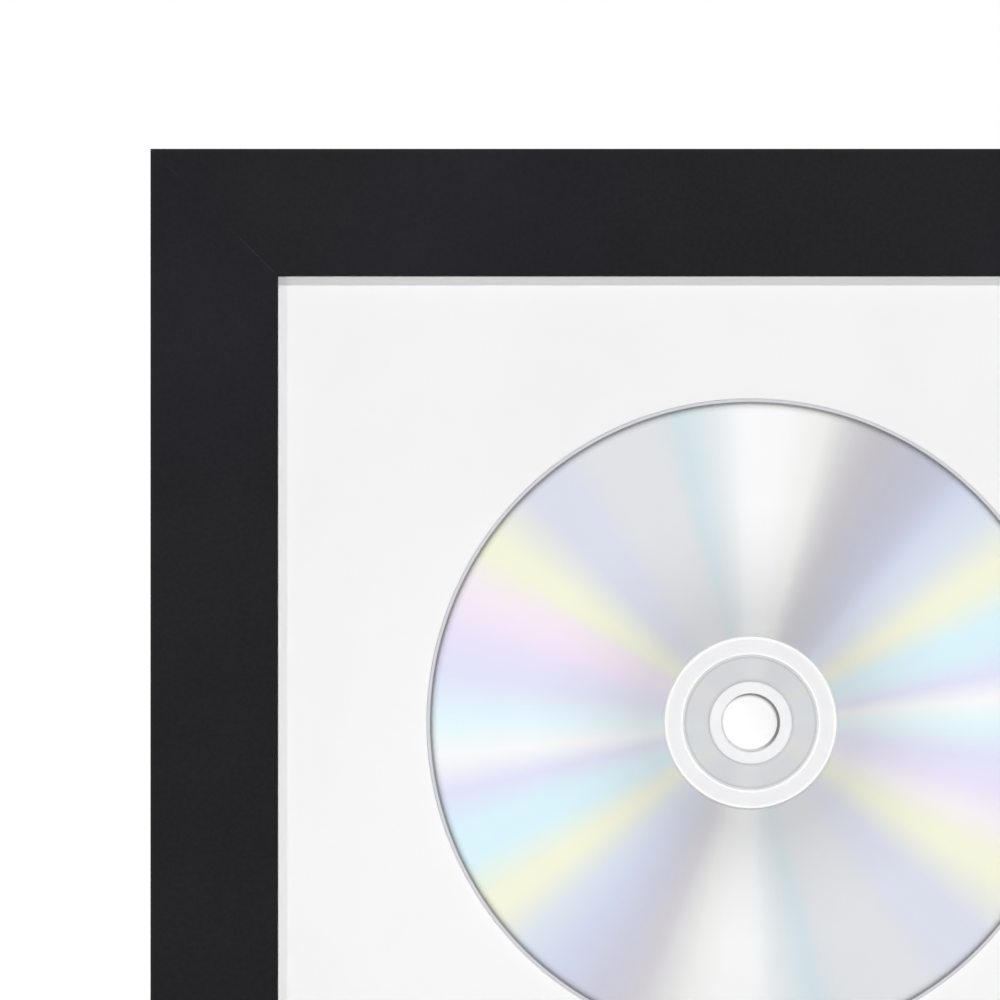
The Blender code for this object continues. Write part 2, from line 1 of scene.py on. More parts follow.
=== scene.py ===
# The looks of a wall frame that shows one disc on a plain white mat behind clear glazing. The sections
# follow the frame as it is put together: rails and wedges, the panels from front to back, the hub and
# the disc on the mat, then what is screwed and nailed to the back. The studio comes last.

import json
import math

import bmesh
import bpy
from mathutils import Matrix, Vector


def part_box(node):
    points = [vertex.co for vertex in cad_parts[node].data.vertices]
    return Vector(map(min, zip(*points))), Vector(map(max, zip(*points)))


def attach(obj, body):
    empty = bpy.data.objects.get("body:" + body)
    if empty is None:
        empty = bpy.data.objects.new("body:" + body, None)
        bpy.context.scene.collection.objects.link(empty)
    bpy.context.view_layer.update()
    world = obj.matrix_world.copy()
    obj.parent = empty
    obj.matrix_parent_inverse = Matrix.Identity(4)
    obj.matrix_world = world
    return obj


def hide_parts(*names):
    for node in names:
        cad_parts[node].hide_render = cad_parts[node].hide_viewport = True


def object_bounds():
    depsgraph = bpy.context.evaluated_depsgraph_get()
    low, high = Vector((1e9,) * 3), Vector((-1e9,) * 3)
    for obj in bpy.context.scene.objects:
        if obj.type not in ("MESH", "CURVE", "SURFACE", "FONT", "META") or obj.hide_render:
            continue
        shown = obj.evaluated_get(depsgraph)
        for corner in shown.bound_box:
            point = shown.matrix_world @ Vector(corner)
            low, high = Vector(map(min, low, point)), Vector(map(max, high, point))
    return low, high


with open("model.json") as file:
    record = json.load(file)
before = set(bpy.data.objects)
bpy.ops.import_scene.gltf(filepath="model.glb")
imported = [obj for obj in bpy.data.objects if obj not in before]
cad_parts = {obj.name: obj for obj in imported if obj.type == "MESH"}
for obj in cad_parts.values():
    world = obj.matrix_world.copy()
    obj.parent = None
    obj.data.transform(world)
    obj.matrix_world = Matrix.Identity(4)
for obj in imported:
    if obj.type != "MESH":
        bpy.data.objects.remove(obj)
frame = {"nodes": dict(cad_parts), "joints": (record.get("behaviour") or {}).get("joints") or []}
cad_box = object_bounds()

# Rails
# Four lengths of pine moulding with a rebate for the panels, mitred at the corners and glued. The
# face, the sides and the lip are sprayed satin black, and the back and the rebate stay bare wood.

MM = 0.001
LIP_THICKNESS = 3.0 * MM
REBATE_WIDTH = 6.0 * MM
EASED_EDGE = 0.28 * MM
BACK_EDGE = 0.5 * MM
JOINT_GAP = 0.002 * MM
JOINT_EDGE = 0.05 * MM
RAIL_PATH_POINTS = 24

top_low, top_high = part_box("frame_rail_top")
left_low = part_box("frame_rail_left")[0]
FRONT_Y = top_low.y
RAIL_DEPTH = top_high.y - top_low.y
FACE_WIDTH = top_high.z - top_low.z
HALF_WIDTH = -left_low.x
HALF_HEIGHT = top_high.z


def screen(red, green, blue):
    """A colour given as it looks on a screen, 0 to 255, as the linear values that a shader takes."""
    linear = []
    for value in (red, green, blue):
        share = value / 255
        linear.append(share / 12.92 if share < 0.04 else ((share + 0.055) / 1.055) ** 2.4)
    return (*linear, 1.0)


def add(tree, kind, inputs=None, **settings):
    """Adds a node. Each input, by name or place, is a plain value or another node's output."""
    made = tree.nodes.new(kind)
    for name, value in settings.items():
        setattr(made, name, value)
    for name, value in (inputs or {}).items():
        if isinstance(value, bpy.types.NodeSocket):
            tree.links.new(value, made.inputs[name])
        else:
            made.inputs[name].default_value = value
    return made


def maths(tree, operation, first, second=0.0, clamp=False):
    inputs = {0: first, 1: second}
    return add(tree, "ShaderNodeMath", inputs, operation=operation, use_clamp=clamp).outputs[0]


def smooth(tree, value, low, high, at_low=0.0, at_high=1.0):
    """Eases from one level to another while a value climbs from low to high."""
    inputs = {"Value": value, "From Min": low, "From Max": high, "To Min": at_low, "To Max": at_high}
    made = add(tree, "ShaderNodeMapRange", inputs, interpolation_type="SMOOTHSTEP")
    return made.outputs[0]


def noise(tree, place, scale, detail=2.0, roughness=0.5):
    inputs = {"Vector": place, "Scale": scale, "Detail": detail, "Roughness": roughness}
    return add(tree, "ShaderNodeTexNoise", inputs).outputs[0]


def ramp(tree, value, stops, interpolation="LINEAR"):
    """A run of colours, or of grey levels, at places from 0 to 1."""
    made = add(tree, "ShaderNodeValToRGB", {0: value})
    band = made.color_ramp
    band.interpolation = interpolation
    while len(band.elements) < len(stops):
        band.elements.new(1.0)
    for element, (place, colour) in zip(band.elements, stops):
        element.position = place
        element.color = colour if isinstance(colour, tuple) else (colour, colour, colour, 1.0)
    return made.outputs[0]


def tint(tree, share, first, second, mode="MIX"):
    """Mixes two colours by a share of the second."""
    made = add(tree, "ShaderNodeMix", data_type="RGBA", blend_type=mode)
    for place, value in ((0, share), (6, first), (7, second)):
        if isinstance(value, bpy.types.NodeSocket):
            tree.links.new(value, made.inputs[place])
        else:
            made.inputs[place].default_value = value
    return made.outputs[2]


def relief(tree, height, distance, under=None):
    """A surface relief as deep as distance, on top of another one if that is given."""
    made = add(tree, "ShaderNodeBump", {"Height": height, "Distance": distance})
    if under is not None:
        tree.links.new(under, made.inputs["Normal"])
    return made.outputs[0]


def object_place(tree):
    return add(tree, "ShaderNodeTexCoord").outputs["Object"]


def axes(tree, place):
    """The x, y and z of a place."""
    return add(tree, "ShaderNodeSeparateXYZ", {0: place}).outputs[:3]


def join(tree, x=0.0, y=0.0, z=0.0):
    return add(tree, "ShaderNodeCombineXYZ", {"X": x, "Y": y, "Z": z}).outputs[0]


def new_finish(name, plain, driven):
    """A material whose Principled shader takes plain values, and the outputs of what driven builds."""
    finish = bpy.data.materials.new(name)
    finish.use_nodes = True
    tree = finish.node_tree
    shader = tree.nodes["Principled BSDF"]
    for socket, value in plain.items():
        shader.inputs[socket].default_value = value
    for socket, output in driven(tree).items():
        tree.links.new(output, shader.inputs[socket])
    return finish


def from_outer_edge(tree, x, z):
    """How far in from the frame's outer side and its outer top or bottom a place lies."""
    from_side = maths(tree, "SUBTRACT", HALF_WIDTH, maths(tree, "ABSOLUTE", x))
    from_end = maths(tree, "SUBTRACT", HALF_HEIGHT, maths(tree, "ABSOLUTE", z))
    return from_side, from_end


LACQUER_BLACK = screen(22, 22, 24)
LACQUER_BLUE = screen(27, 26, 33)
LACQUER_WORN_AND_SHEEN = screen(31, 31, 32)
FILLER_GREY = screen(48, 48, 50)
PALE_WOOD = screen(229, 203, 161)
WARM_WOOD = screen(214, 179, 130)
LATE_WOOD = screen(184, 140, 92)
PEEL_DEPTH = 0.02 * MM
SPECK_DEPTH = 0.006 * MM
RUBBED_SHEEN_WIDTH = 0.8 * MM
MITRE_LINE = 0.24 * MM
MITRE_WORN_FROM = 5 * MM
MITRE_CORNER_FADE = (4.5 * MM, 6.5 * MM)
RING_DEPTH = 0.012 * MM
PORE_DEPTH = 0.03 * MM
SPRAY_RAGGED = 0.9 * MM
SPRAY_REACH = 0.3 * MM
DROPLET_REACH = 2.4 * MM


def lacquer_look(tree):
    """Black with a faint blue cast in clouds, an orange-peel skin, outer edges lighter from wear and a
    painted highlight, and filled mitres.
    """
    place = object_place(tree)
    x, _, z = axes(tree, place)
    clouds = noise(tree, place, 16, detail=3)
    body = ramp(tree, clouds, ((0.46, LACQUER_BLACK), (0.68, LACQUER_BLUE)))
    specks = noise(tree, place, 1300, detail=2)
    body = tint(tree, smooth(tree, specks, 0.3, 0.7, 0.0, 0.12), body, FILLER_GREY)
    from_side, from_end = from_outer_edge(tree, x, z)
    edge = maths(tree, "MINIMUM", from_side, from_end)
    # Lighter along the eased outer edges: rubbed wear together with a painted highlight where the edge
    # catches the light.
    rubbed_and_sheen = smooth(tree, edge, 0.3 * MM, RUBBED_SHEEN_WIDTH, 0.7, 0.0)
    body = tint(tree, rubbed_and_sheen, body, LACQUER_WORN_AND_SHEEN)
    off_mitre = maths(tree, "ABSOLUTE", maths(tree, "SUBTRACT", from_side, from_end))
    filler = smooth(tree, off_mitre, MITRE_LINE / 3, MITRE_LINE, 1.0, 0.0)
    worn = smooth(tree, noise(tree, place, 190, detail=3), 0.38, 0.6, 0.35, 1.0)
    near_lip = smooth(tree, edge, MITRE_WORN_FROM, FACE_WIDTH, 0.15, 0.75)
    opened = maths(tree, "MAXIMUM", near_lip, smooth(tree, edge, *MITRE_CORNER_FADE, 0.55, 0.0))
    filler = maths(tree, "MULTIPLY", filler, maths(tree, "MULTIPLY", worn, opened))
    body = tint(tree, filler, body, FILLER_GREY)
    peel = relief(tree, noise(tree, place, 520, detail=2), PEEL_DEPTH)
    peel = relief(tree, specks, SPECK_DEPTH, peel)
    shine = smooth(tree, noise(tree, place, 40, detail=4), 0.3, 0.7, 0.6, 0.7)
    return {"Base Color": body, "Roughness": shine, "Normal": peel}


def pine_look(upright):
    """Bare pine with its grain along the rail, and black spray and droplets round the outer edge."""

    def look(tree):
        place = object_place(tree)
        x, y, z = axes(tree, place)
        along, across = (z, x) if upright else (x, z)
        slice_place = maths(tree, "ADD", maths(tree, "MULTIPLY", along, 0.09), 0.4 if upright else 0.0)
        drawn_out = join(tree, across, y, slice_place)
        wander = noise(tree, drawn_out, 48, detail=2)
        rings = add(
            tree,
            "ShaderNodeTexWave",
            {
                "Vector": drawn_out,
                "Scale": 96.0,
                "Distortion": 8.0,
                "Detail": 3.0,
                "Detail Scale": 0.6,
                "Phase Offset": maths(tree, "MULTIPLY", wander, 26.0),
            },
            wave_type="BANDS",
            bands_direction="X",
            wave_profile="SAW",
        ).outputs["Fac"]
        stops = ((0.0, WARM_WOOD), (0.12, PALE_WOOD), (0.5, PALE_WOOD), (0.8, WARM_WOOD), (0.93, LATE_WOOD))
        body = ramp(tree, rings, (*stops, (1.0, WARM_WOOD)), "EASE")
        faded = smooth(tree, noise(tree, drawn_out, 130, detail=2), 0.35, 0.65, 0.0, 0.6)
        body = tint(tree, faded, body, WARM_WOOD)
        streaks = noise(tree, join(tree, across, y, maths(tree, "MULTIPLY", along, 0.02)), 520, detail=4)
        body = tint(tree, smooth(tree, streaks, 0.35, 0.65, 0.0, 0.45), body, WARM_WOOD)
        pores = noise(tree, join(tree, across, y, maths(tree, "MULTIPLY", along, 0.03)), 1500, detail=3)
        body = tint(tree, smooth(tree, pores, 0.5, 0.75, 0.0, 0.35), body, LATE_WOOD)
        from_side, from_end = from_outer_edge(tree, x, z)
        edge = maths(tree, "MINIMUM", from_side, from_end)
        drift = noise(tree, place, 1900, detail=5, roughness=0.8)
        ragged = maths(tree, "SUBTRACT", edge, maths(tree, "MULTIPLY", drift, SPRAY_RAGGED))
        spray = smooth(tree, ragged, -0.4 * MM, SPRAY_REACH, 0.9, 0.0)
        droplets = noise(tree, place, 2400, detail=1)
        thinning = smooth(tree, edge, 0.2 * MM, DROPLET_REACH, 0.58, 0.8)
        dropped = smooth(tree, maths(tree, "SUBTRACT", droplets, thinning), 0.0, 0.03)
        body = tint(tree, maths(tree, "MAXIMUM", spray, dropped), body, LACQUER_WORN_AND_SHEEN)
        ridges = relief(tree, rings, RING_DEPTH)
        ridges = relief(tree, pores, PORE_DEPTH, ridges)
        return {"Base Color": body, "Roughness": smooth(tree, pores, 0.2, 0.8, 0.62, 0.82), "Normal": ridges}

    return look


SATIN = {"Specular IOR Level": 0.2}
lacquer = new_finish("black_lacquer", SATIN, lacquer_look)
pine_level = new_finish("bare_pine_level", {"Specular IOR Level": 0.3}, pine_look(upright=False))
pine_upright = new_finish("bare_pine_upright", {"Specular IOR Level": 0.3}, pine_look(upright=True))


def eased(corners, steps=4, closed=True):
    """An outline from (x, y, reach) corners, each rounded off over its reach along both of its sides."""
    outline = []
    for number, (x, y, reach) in enumerate(corners):
        corner = Vector((x, y))
        at_end = number in (0, len(corners) - 1) and not closed
        if at_end or not reach:
            outline.append(corner)
            continue
        before = Vector(corners[number - 1][:2]) - corner
        after = Vector(corners[(number + 1) % len(corners)][:2]) - corner
        start = corner + before.normalized() * reach
        end = corner + after.normalized() * reach
        for step in range(steps + 1):
            t = step / steps
            outline.append(start * (1 - t) ** 2 + corner * 2 * t * (1 - t) + end * t ** 2)
    return [tuple(point) for point in outline]


def new_geometry_tree(name, inputs):
    """A Geometry Nodes tree. Returns it, its inputs by name, and the socket that its result goes to."""
    tree = bpy.data.node_groups.new(name, "GeometryNodeTree")
    tree.interface.new_socket("Geometry", in_out="INPUT", socket_type="NodeSocketGeometry")
    for label, kind in inputs.items():
        tree.interface.new_socket(label, in_out="INPUT", socket_type=f"NodeSocket{kind}")
    tree.interface.new_socket("Geometry", in_out="OUTPUT", socket_type="NodeSocketGeometry")
    given = {socket.name: socket for socket in tree.nodes.new("NodeGroupInput").outputs}
    return tree, given, tree.nodes.new("NodeGroupOutput").inputs[0]


def settle(obj):
    """Makes what an object's modifiers show its own plain mesh, and takes the modifiers off."""
    layers = bpy.context.evaluated_depsgraph_get()
    mesh = bpy.data.meshes.new_from_object(
        obj.evaluated_get(layers), preserve_all_data_layers=True, depsgraph=layers
    )
    obj.modifiers.clear()
    obj.data = mesh
    return obj


def grow(name, mesh, tree, values):
    """The plain mesh that a Geometry Nodes tree makes from a starting mesh, as an object at the origin."""
    obj = bpy.data.objects.new(name, mesh)
    bpy.context.scene.collection.objects.link(obj)
    modifier = obj.modifiers.new(tree.name, "NODES")
    modifier.node_group = tree
    for item in tree.interface.items_tree:
        if item.in_out == "INPUT" and item.name in values:
            modifier[item.identifier] = values[item.name]
    return settle(obj)


def wire_mesh(name, points, closed=True):
    """A mesh of bare points, joined in a ring if it is closed."""
    mesh = bpy.data.meshes.new(name)
    count = len(points)
    ring = [(number, (number + 1) % count) for number in range(count)] if closed else []
    mesh.from_pydata(points, ring, [])
    return mesh


def mitred_rail_tree():
    """Sweeps the moulding's outline along a straight line and draws both ends in to mitres.

    The rail lies along x, with its depth along y and its outer side up. Behind the lip, the faces that
    look back or in to the rebate take the second finish.
    """
    inputs = {"Length": "Float", "Face Width": "Float", "Lip": "Float", "Joint Gap": "Float"}
    inputs.update({"Face Finish": "Material", "Back Finish": "Material"})
    tree, given, result = new_geometry_tree("mitred_rail", inputs)
    half = maths(tree, "MULTIPLY", given["Length"], 0.5)
    ends = {"Start": join(tree, maths(tree, "MULTIPLY", half, -1.0)), "End": join(tree, half)}
    path = add(tree, "GeometryNodeCurvePrimitiveLine", ends).outputs[0]
    path = add(tree, "GeometryNodeResampleCurve", {"Curve": path, "Count": RAIL_PATH_POINTS}).outputs[0]
    outline = add(tree, "GeometryNodeMeshToCurve", {0: given["Geometry"]}).outputs[0]
    sweep = {"Curve": path, "Profile Curve": outline, "Fill Caps": True}
    rail = add(tree, "GeometryNodeCurveToMesh", sweep).outputs[0]
    place = add(tree, "GeometryNodeInputPosition").outputs[0]
    x, y, z = axes(tree, place)
    drawn_in = maths(tree, "ADD", maths(tree, "SUBTRACT", given["Face Width"], z), given["Joint Gap"])
    kept = maths(tree, "SUBTRACT", 1.0, maths(tree, "DIVIDE", drawn_in, half))
    mitred = {"Geometry": rail, "Position": join(tree, maths(tree, "MULTIPLY", x, kept), y, z)}
    rail = add(tree, "GeometryNodeSetPosition", mitred).outputs[0]
    rail = add(tree, "GeometryNodeRealizeInstances", {0: rail}).outputs[0]
    rail = add(tree, "GeometryNodeSetMaterial", {0: rail, "Material": given["Face Finish"]}).outputs[0]
    _, back, out = axes(tree, add(tree, "GeometryNodeInputNormal").outputs[0])
    looks_back = maths(tree, "GREATER_THAN", back, 0.5)
    looks_in = maths(tree, "LESS_THAN", out, -0.9)
    behind_lip = maths(tree, "GREATER_THAN", y, given["Lip"])
    bare = maths(tree, "MULTIPLY", maths(tree, "MAXIMUM", looks_back, looks_in), behind_lip)
    backed = {0: rail, "Selection": bare, "Material": given["Back Finish"]}
    rail = add(tree, "GeometryNodeSetMaterial", backed).outputs[0]
    tree.links.new(rail, result)
    return tree


def moulding_outline():
    """The moulding's section, from the front corner of its lip round by the back to its outer edge."""
    corners = (
        (0, 0, EASED_EDGE),
        (LIP_THICKNESS, 0, JOINT_EDGE),
        (LIP_THICKNESS, REBATE_WIDTH, JOINT_EDGE),
        (RAIL_DEPTH, REBATE_WIDTH, BACK_EDGE / 2),
        (RAIL_DEPTH, FACE_WIDTH, BACK_EDGE),
        (0, FACE_WIDTH, EASED_EDGE),
    )
    return [(-depth, -across, 0) for depth, across in eased(corners)]


WELD = 0.001 * MM


def cleaned_copy(name, node):
    """A copy of a CAD node's mesh with its loose triangles joined, as an object at the origin."""
    obj = bpy.data.objects.new(name, frame["nodes"][node].data.copy())
    bpy.context.scene.collection.objects.link(obj)
    shell = bmesh.new()
    shell.from_mesh(obj.data)
    bmesh.ops.remove_doubles(shell, verts=shell.verts, dist=WELD)
    bmesh.ops.dissolve_limit(
        shell, angle_limit=math.radians(1), verts=shell.verts, edges=shell.edges
    )
    shell.to_mesh(obj.data)
    shell.free()
    obj.data.materials.clear()
    return obj


def ease_edges(obj, width, segments=2, least_angle=50, clamp=True):
    """Rounds an object's sharp edges off, less where they crowd if it is clamped."""
    bevel = obj.modifiers.new("Eased", "BEVEL")
    bevel.width = width
    bevel.segments = segments
    bevel.limit_method = "ANGLE"
    bevel.angle_limit = math.radians(least_angle)
    bevel.use_clamp_overlap = clamp
    return obj


def shade(obj, sharp=35):
    """Shades an object smooth, but for edges sharper than an angle in degrees."""
    obj.data.shade_smooth()
    obj.data.set_sharp_from_angle(angle=math.radians(sharp))
    return obj


WEDGES = [f"corner_wedge_{corner}" for corner in ("top_left", "top_right", "bottom_right", "bottom_left")]


def wedge_slots():
    """What the wedges have cut out of the rails, open to the back."""
    slots = []
    for wedge in WEDGES:
        slot = cleaned_copy(f"{wedge}_slot", wedge)
        middle = sum(vert.co.y for vert in slot.data.vertices) / len(slot.data.vertices)
        for vert in slot.data.vertices:
            if vert.co.y > middle:
                vert.co.y = top_high.y + MM
        slots.append(slot)
    return slots


def make_rails():
    tree = mitred_rail_tree()
    slots = wedge_slots()
    outline = wire_mesh("moulding_outline", moulding_outline())
    sides = (
        ("top", 0, HALF_WIDTH, HALF_HEIGHT, pine_level),
        ("right", 90, HALF_HEIGHT, HALF_WIDTH, pine_upright),
        ("bottom", 180, HALF_WIDTH, HALF_HEIGHT, pine_level),
        ("left", 270, HALF_HEIGHT, HALF_WIDTH, pine_upright),
    )
    for side, turn, half_length, reach, pine in sides:
        values = {"Length": 2 * half_length, "Face Width": FACE_WIDTH, "Joint Gap": JOINT_GAP}
        values.update({"Lip": LIP_THICKNESS + JOINT_EDGE, "Face Finish": lacquer, "Back Finish": pine})
        rail = grow(f"rail_{side}", outline, tree, values)
        lift = Matrix.Translation((0, FRONT_Y, reach - FACE_WIDTH))
        rail.data.transform(Matrix.Rotation(math.radians(turn), 4, "Y") @ lift)
        ease_edges(rail, JOINT_EDGE, least_angle=40)
        for slot in slots:
            cut = rail.modifiers.new(slot.name, "BOOLEAN")
            cut.operation = "DIFFERENCE"
            cut.object = slot
        settle(rail)
        shade(rail, sharp=5)
        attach(rail, "frame")
        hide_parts(f"frame_rail_{side}")
    for slot in slots:
        bpy.data.objects.remove(slot)


make_rails()

# Corner wedges
# Bent strips of thin sheet steel, pressed in across the back of each mitre to draw the joint tight.
# They sit just below the wood's surface, with brighter and duller patches in the plating.

WEDGE_STEEL = screen(178, 180, 184)
WEDGE_DULL = screen(142, 145, 150)
GRAIN_DULLING = 0.06
ROLLED_GRAIN = 900
ROLLED_DEPTH = 0.006 * MM


def plated_look(body, patch, bright, dull):
    """Plated metal, with cloudy patches in the plating, a fine rolled grain and duller spots."""

    def look(tree):
        place = object_place(tree)
        clouds = noise(tree, place, 160, detail=4, roughness=0.6)
        fine = noise(tree, place, ROLLED_GRAIN, detail=3)
        colour = tint(tree, smooth(tree, clouds, 0.35, 0.7), body, patch)
        colour = tint(tree, smooth(tree, fine, 0.6, 0.8, 0.0, 0.3), colour, patch)
        dulled = smooth(tree, clouds, 0.3, 0.7, bright, dull)
        shine = maths(tree, "ADD", dulled, maths(tree, "MULTIPLY", fine, GRAIN_DULLING))
        return {"Base Color": colour, "Roughness": shine, "Normal": relief(tree, fine, ROLLED_DEPTH)}

    return look


wedge_steel = new_finish("wedge_steel", {"Metallic": 1.0}, plated_look(WEDGE_STEEL, WEDGE_DULL, 0.32, 0.5))
for wedge in WEDGES:
    frame["nodes"][wedge].data.materials.clear()
    frame["nodes"][wedge].data.materials.append(wedge_steel)

# Glazing
# One sheet of clear cast acrylic, dropped in first, so that its edge lies behind the lip all round.
# It is polished on both faces and lets all light through but what its two faces throw back.

ACRYLIC_INDEX = 1.49
ACRYLIC_CLEAR = (1.0, 1.0, 1.0, 1.0)
ACRYLIC_WAVES = 0.01 * MM


def clear_finish(name, index, colour):
    """A clear sheet that is glass to the eye and open to lamps and to soft light."""
    finish = bpy.data.materials.new(name)
    finish.use_nodes = True
    tree = finish.node_tree
    glass = tree.nodes["Principled BSDF"]
    glass.inputs["Base Color"].default_value = colour
    glass.inputs["Transmission Weight"].default_value = 1.0
    glass.inputs["Roughness"].default_value = 0.0
    glass.inputs["IOR"].default_value = index
    waves = noise(tree, object_place(tree), 9, detail=1)
    tree.links.new(relief(tree, waves, ACRYLIC_WAVES), glass.inputs["Normal"])
    ray = add(tree, "ShaderNodeLightPath")
    lit_through = maths(tree, "MAXIMUM", ray.outputs["Is Shadow Ray"], ray.outputs["Is Diffuse Ray"])
    opening = add(tree, "ShaderNodeBsdfTransparent")
    mixed = add(tree, "ShaderNodeMixShader", {0: lit_through, 1: glass.outputs[0], 2: opening.outputs[0]})
    tree.links.new(mixed.outputs[0], tree.nodes["Material Output"].inputs["Surface"])
    return finish


frame["nodes"]["glazing"].data.materials.clear()
frame["nodes"]["glazing"].data.materials.append(
    clear_finish("clear_acrylic", ACRYLIC_INDEX, ACRYLIC_CLEAR)
)

# Spacers
# Four strips of white foamed plastic, stuck to the glazing's edge behind the lip. They hold the
# glazing off the disc, and their cut sides show fine closed cells.

FOAM_WHITE = screen(220, 220, 219)
FOAM_GREY = screen(192, 192, 190)
FOAM_CELLS = 1800.0
FOAM_CELL_DEPTH = 0.05 * MM


def foam_look(tree):
    place = object_place(tree)
    inputs = {"Vector": place, "Scale": FOAM_CELLS}
    cells = add(tree, "ShaderNodeTexVoronoi", inputs, feature="DISTANCE_TO_EDGE").outputs["Distance"]
    walls = smooth(tree, cells, 0.0, 0.25)
    body = tint(tree, walls, FOAM_GREY, FOAM_WHITE)
    return {"Base Color": body, "Normal": relief(tree, walls, FOAM_CELL_DEPTH)}


foam_strip = new_finish("white_foam_strip", {"Roughness": 0.8}, foam_look)
for spacer in ("spacer_top", "spacer_bottom", "spacer_left", "spacer_right"):
    frame["nodes"][spacer].data.materials.clear()
    frame["nodes"][spacer].data.materials.append(foam_strip)

# Mat
# White four-ply board with a smooth paper face and a creamy core that shows where the hub's hole is
# cut. It lies plain behind the disc, with a fine tooth and the faintest cloudiness in the paper.

PAPER_WHITE = screen(246, 246, 246)
PAPER_CLOUD = screen(244, 244, 244)
BOARD_CORE = screen(236, 230, 214)
MAT_FACE_DEPTH = 0.12 * MM
PAPER_TOOTH = 0.012 * MM
mat_low, mat_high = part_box("mat_board")


def paper_look(low, high, core):
    """Paper faces on a board whose core shows at its cut edges."""

    def look(tree):
        place = object_place(tree)
        _, y, _ = axes(tree, place)
        clouds = noise(tree, place, 24, detail=3)
        body = tint(tree, smooth(tree, clouds, 0.35, 0.65), PAPER_WHITE, PAPER_CLOUD)
        from_front = maths(tree, "SUBTRACT", y, low.y)
        from_back = maths(tree, "SUBTRACT", high.y, y)
        deep = maths(tree, "MINIMUM", from_front, from_back)
        body = tint(tree, smooth(tree, deep, MAT_FACE_DEPTH / 2, MAT_FACE_DEPTH), body, core)
        tooth = relief(tree, noise(tree, place, 2600, detail=4), PAPER_TOOTH)
        return {"Base Color": body, "Normal": tooth}

    return look


MAT_SURFACE = {"Roughness": 0.9, "Specular IOR Level": 0.2}
mat_paper = new_finish("white_mat_paper", MAT_SURFACE, paper_look(mat_low, mat_high, BOARD_CORE))
frame["nodes"]["mat_board"].data.materials.clear()
frame["nodes"]["mat_board"].data.materials.append(mat_paper)

# Hub and its pad
# A button moulded in milky white plastic. Its flange sticks to the mounting board through the mat's
# hole with a white pad, and the disc snaps over the bead on its collar.

HUB_STEPS = 160
HUB_COLLAR_RADIUS = 7.45 * MM
HUB_BEAD_RADIUS = 7.65 * MM
HUB_BEAD_HEIGHT = 0.5 * MM
HUB_FLANGE_RADIUS = 15.0 * MM
HUB_FLANGE_THICKNESS = 0.8 * MM
BORE_FRONT_RADIUS = 5.46 * MM
BORE_BACK_RADIUS = 5.04 * MM
SMALL_EDGE = 0.12 * MM
hub_low, hub_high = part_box("disc_hub")


def turned(name, outline, steps, ring=True):
    """A shape turned about the y axis from (radius, depth) points, in a ring or ending on the axis."""
    mesh = bpy.data.meshes.new(name)
    shell = bmesh.new()
    line = [shell.verts.new((radius, depth, 0)) for radius, depth in outline]
    pairs = list(zip(line, line[1:] + line[:1] if ring else line[1:]))
    edges = [shell.edges.new(pair) for pair in pairs]
    bmesh.ops.spin(
        shell,
        geom=[*line, *edges],
        axis=(0, 1, 0),
        cent=(0, 0, 0),
        steps=steps,
        angle=2 * math.pi,
        use_merge=False,
        use_duplicate=False,
    )
    bmesh.ops.remove_doubles(shell, verts=shell.verts, dist=WELD)
    bmesh.ops.recalc_face_normals(shell, faces=shell.faces)
    shell.to_mesh(mesh)
    shell.free()
    obj = bpy.data.objects.new(name, mesh)
    bpy.context.scene.collection.objects.link(obj)
    return shade(obj)


def hub_outline():
    front, back = hub_low.y, hub_high.y
    bead_foot = front + HUB_BEAD_HEIGHT
    flange = back - HUB_FLANGE_THICKNESS
    corners = (
        (BORE_BACK_RADIUS, back, 0),
        (HUB_FLANGE_RADIUS, back, SMALL_EDGE),
        (HUB_FLANGE_RADIUS, flange, 2 * SMALL_EDGE),
        (HUB_COLLAR_RADIUS, flange, SMALL_EDGE),
        (HUB_COLLAR_RADIUS, bead_foot + SMALL_EDGE, 0),
        (HUB_BEAD_RADIUS, bead_foot, SMALL_EDGE / 2),
        (HUB_BEAD_RADIUS, front, 2 * SMALL_EDGE),
        (BORE_FRONT_RADIUS, front, SMALL_EDGE),
    )
    return eased(corners)


PANE_FACE_GLARE = 0.039


def behind_glazing(red, green, blue, gloss=0.0):
    """The colour that a surface needs, to look like this behind the glazing and under its own gloss."""
    thrown_back = 1 - (1 - PANE_FACE_GLARE) ** 2
    passed = (1 - thrown_back) * (1 - gloss)
    seen = screen(red, green, blue)[:3]
    needed = [(level - thrown_back - (1 - thrown_back) * gloss) / passed for level in seen]
    return (*[min(max(level, 0.0), 1.0) for level in needed], 1.0)


def turn_angle(tree, x, z):
    """The share of a full turn at a place, from 0 at the left, counting from below round to the right."""
    flat = join(tree, x, z)
    return add(tree, "ShaderNodeTexGradient", {0: flat}, gradient_type="RADIAL").outputs["Fac"]


def from_axis(tree, x, z):
    """How far a place lies from the y axis."""
    return add(tree, "ShaderNodeVectorMath", {0: join(tree, x, z)}, operation="LENGTH").outputs["Value"]


def towards(tree, x, z, degrees):
    """How nearly a place lies in a direction, from -1 to 1. Its degrees count from the right, upwards."""
    angle = math.radians(degrees)
    flat = add(tree, "ShaderNodeVectorMath", {0: join(tree, x, z)}, operation="NORMALIZE").outputs[0]
    lined_up = {0: flat, 1: (math.cos(angle), math.sin(angle), 0.0)}
    return add(tree, "ShaderNodeVectorMath", lined_up, operation="DOT_PRODUCT").outputs["Value"]


HUB_WHITE = behind_glazing(246, 246, 247)
HUB_CLOUD = behind_glazing(243, 243, 245)
HUB_SHADE = behind_glazing(54, 54, 56)
BORE_PAINTED_LIGHT = behind_glazing(250, 250, 250)
HUB_GRAIN_DEPTH = 0.01 * MM
PAD_WHITE = screen(253, 253, 253)
PAD_FIBRE = screen(251, 251, 251)
PAD_PAINTED_SHADOW = screen(150, 150, 150)
PAD_SHADOW_FROM = 4.45 * MM
PAD_SHADOW_TO = 5.1 * MM


